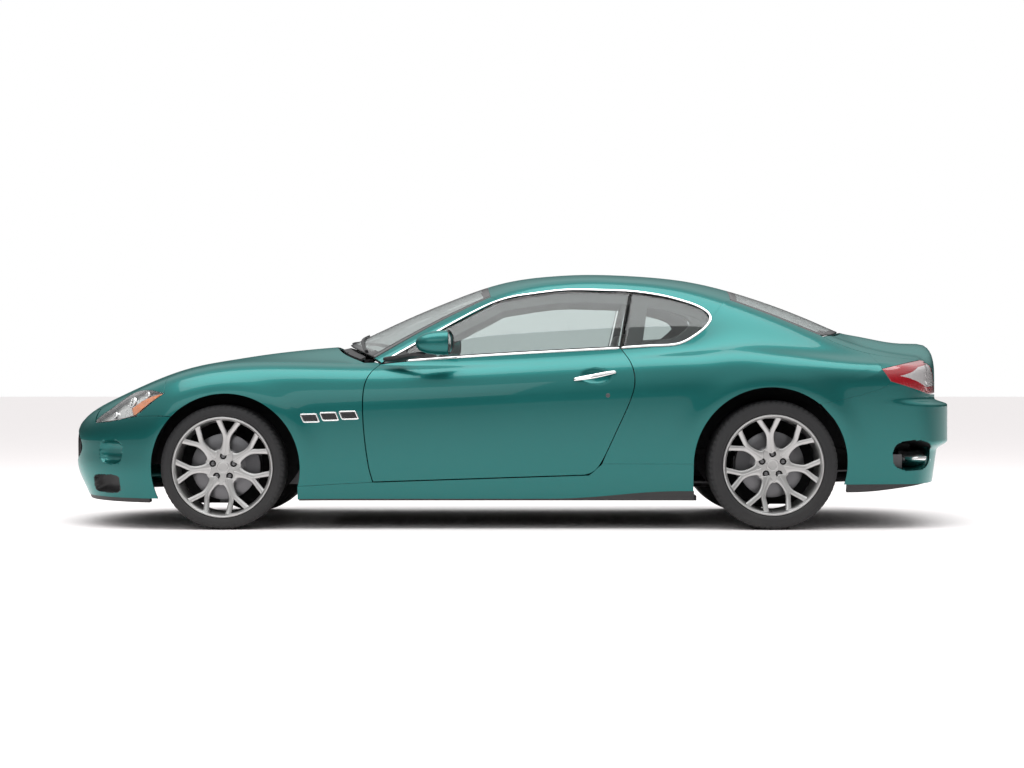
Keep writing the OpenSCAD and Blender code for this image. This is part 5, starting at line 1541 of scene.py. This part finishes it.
t = np.linspace(0, 2 * math.pi, 96, endpoint=False)
path = np.stack([175 * np.cos(t), 175 * np.sin(t), 0 * t], -1)
outv = np.stack([np.cos(t), np.sin(t), 0 * t], -1)
grip_bulge = 1 + 0.10 * np.exp(-((abs(((t + 0.9) % math.pi) - 0.35)) / 0.12)**2)[:, None]
v, f = swept(path, outv * grip_bulge, np.tile([0, 0, 1.0], (96, 1)) * grip_bulge, oval(26, 30, 20, 2, -15), True)
rim_part = (on_wheel(v), f)
spoke_parts = []
for a in (-90, 0, 90):
    a = math.radians(a)
    k = np.linspace(0, 1, 16)[:, None]
    d2, s2 = np.array([math.cos(a), math.sin(a), 0]), np.array([-math.sin(a), math.cos(a), 0])
    p = d2 * (38 + 134 * k) + np.array([0, 0, 14]) * (1 - k)**2
    v, f = swept(p, np.tile(s2, (16, 1)) * (1.25 - 0.35 * np.sin(math.pi * k)), np.tile([0, 0, 1.0], (16, 1)),
                 oval(30, 12, 16, 3, -4))
    spoke_parts.append((on_wheel(v), f))
v, f = rounded_box([-62, -62, -4], [62, 62, 34], 8, 3.2)
hub_part = (on_wheel(v), f)
mesh_piece("steering_rim", (rim_part[0], rim_part[1]), LEATHER_DARK, "steering_wheel", "steering_wheel", "leather")
mesh_piece("steering_spokes", together(*spoke_parts, hub_part), TRIM, "steering_wheel", "steering_wheel", "trim",
           weld=True)

# ---------------------------------------------------------------- inner wings behind the wheels, with painted shade below them
for name, hub, depth, reach in (("inner_wings_and_shade_front", FRONT_HUB, 455.0, 385), ("inner_wings_and_shade_rear", REAR_HUB, 560.0,
                                                            395)):
    a = np.linspace(0, 2 * np.pi, 96, endpoint=False)[None, :]
    k = np.linspace(0, 1, 12)[:, None] * 0.97 + 0.03
    # the plates reach down below the body to 118 mm: a dark sheet of painted shade where the shadowed floor under the
    # car would show through the spokes
    rim = reach + (305 - reach) * np.clip(-np.sin(a) / 0.5, 0, 1)
    g = np.stack([hub[0] + k * rim * np.cos(a), -depth + 6 * np.cos(9 * k) + 0 * a,
                  np.maximum(hub[1] + k * rim * np.sin(a), 118)], -1)
    mesh_piece(name, both(plate(g, g + [0, 3, 0], True)), LINER, "body", (), "black_plastic")

# ---------------------------------------------------------------- carried-over nodes
for node, material in {
        "body_frame": UNDER, "wheel_liners": LINER, "engine": STEEL_DARKENED_FOR_SHADE, "exhaust": STEEL_DARKENED_FOR_SHADE, "front_suspension": IRON,
        "rear_suspension": IRON, "knuckle_left": IRON, "knuckle_right": IRON, "boot_liner": CARPET,
        "cowl": BLACK, "dashboard": TRIM, "wipers": BLACK, "grille": BLACK}.items():
    for slot_ in bpy.data.objects[node].material_slots:
        slot_.material = material

# ---------------------------------------------------------------- camera, floor and light
camera = bpy.data.objects.new("camera", bpy.data.cameras.new("camera"))
bpy.context.scene.collection.objects.link(camera)
camera.location = (0.0054, -12.8, 0.850)
camera.rotation_euler = (math.radians(90), 0, 0)
camera.data.lens = 78.3
camera.data.shift_y = -0.013
camera.data.clip_end = 200
bpy.context.scene.camera = camera

floor_mesh = bpy.data.meshes.new("floor")
floor_mesh.from_pydata([(-60, -60, 0), (60, -60, 0), (60, 60, 0), (-60, 60, 0)], [], [(0, 1, 2, 3)])
floor = bpy.data.objects.new("floor", floor_mesh)
bpy.context.scene.collection.objects.link(floor)
floor_mesh.materials.append(finish_of("pale floor", (0.97, 0.93, 0.93), rough=0.75, vary=0.01, bump=0.0))

world = bpy.data.worlds.new("studio")
world.use_nodes = True
bpy.context.scene.world = world
sky = world.node_tree
back = sky.nodes["Background"]
back.inputs["Color"].default_value = (1, 1, 1, 1)
up = add(sky, "SeparateXYZ", {0: add(sky, "TexCoord").outputs["Generated"]})
level = add(sky, "MapRange", {0: up.outputs["Z"], 1: 0.02, 2: 0.62, 3: 0.05, 4: 1.05}, interpolation_type="SMOOTHSTEP")
seen = add(sky, "LightPath")
through = add(sky, "Math", {0: seen.outputs["Is Camera Ray"], 1: seen.outputs["Is Transmission Ray"]},
              operation="MAXIMUM")
white = add(sky, "Mix", {0: through.outputs[0], 2: level.outputs[0], 3: 1.0}, data_type="FLOAT")
sky.links.new(white.outputs[0], back.inputs["Strength"])
bpy.context.scene.view_settings.view_transform = "Standard"


def softbox(name, place, look, size, power):
    """A rectangular soft light that points at a place."""
    data = bpy.data.lights.new(name, "AREA")
    data.shape, data.size, data.size_y, data.energy = "RECTANGLE", size[0], size[1], power
    light = bpy.data.objects.new(name, data)
    light.location = place
    light.rotation_euler = (Vector(look) - Vector(place)).to_track_quat("-Z", "Y").to_euler()
    bpy.context.scene.collection.objects.link(light)


softbox("overhead", (0, -1, 6), (0, 0, 0.5), (9, 5), 480)
softbox("front side", (-3, -9, 4), (0, 0, 0.6), (6, 3), 90)
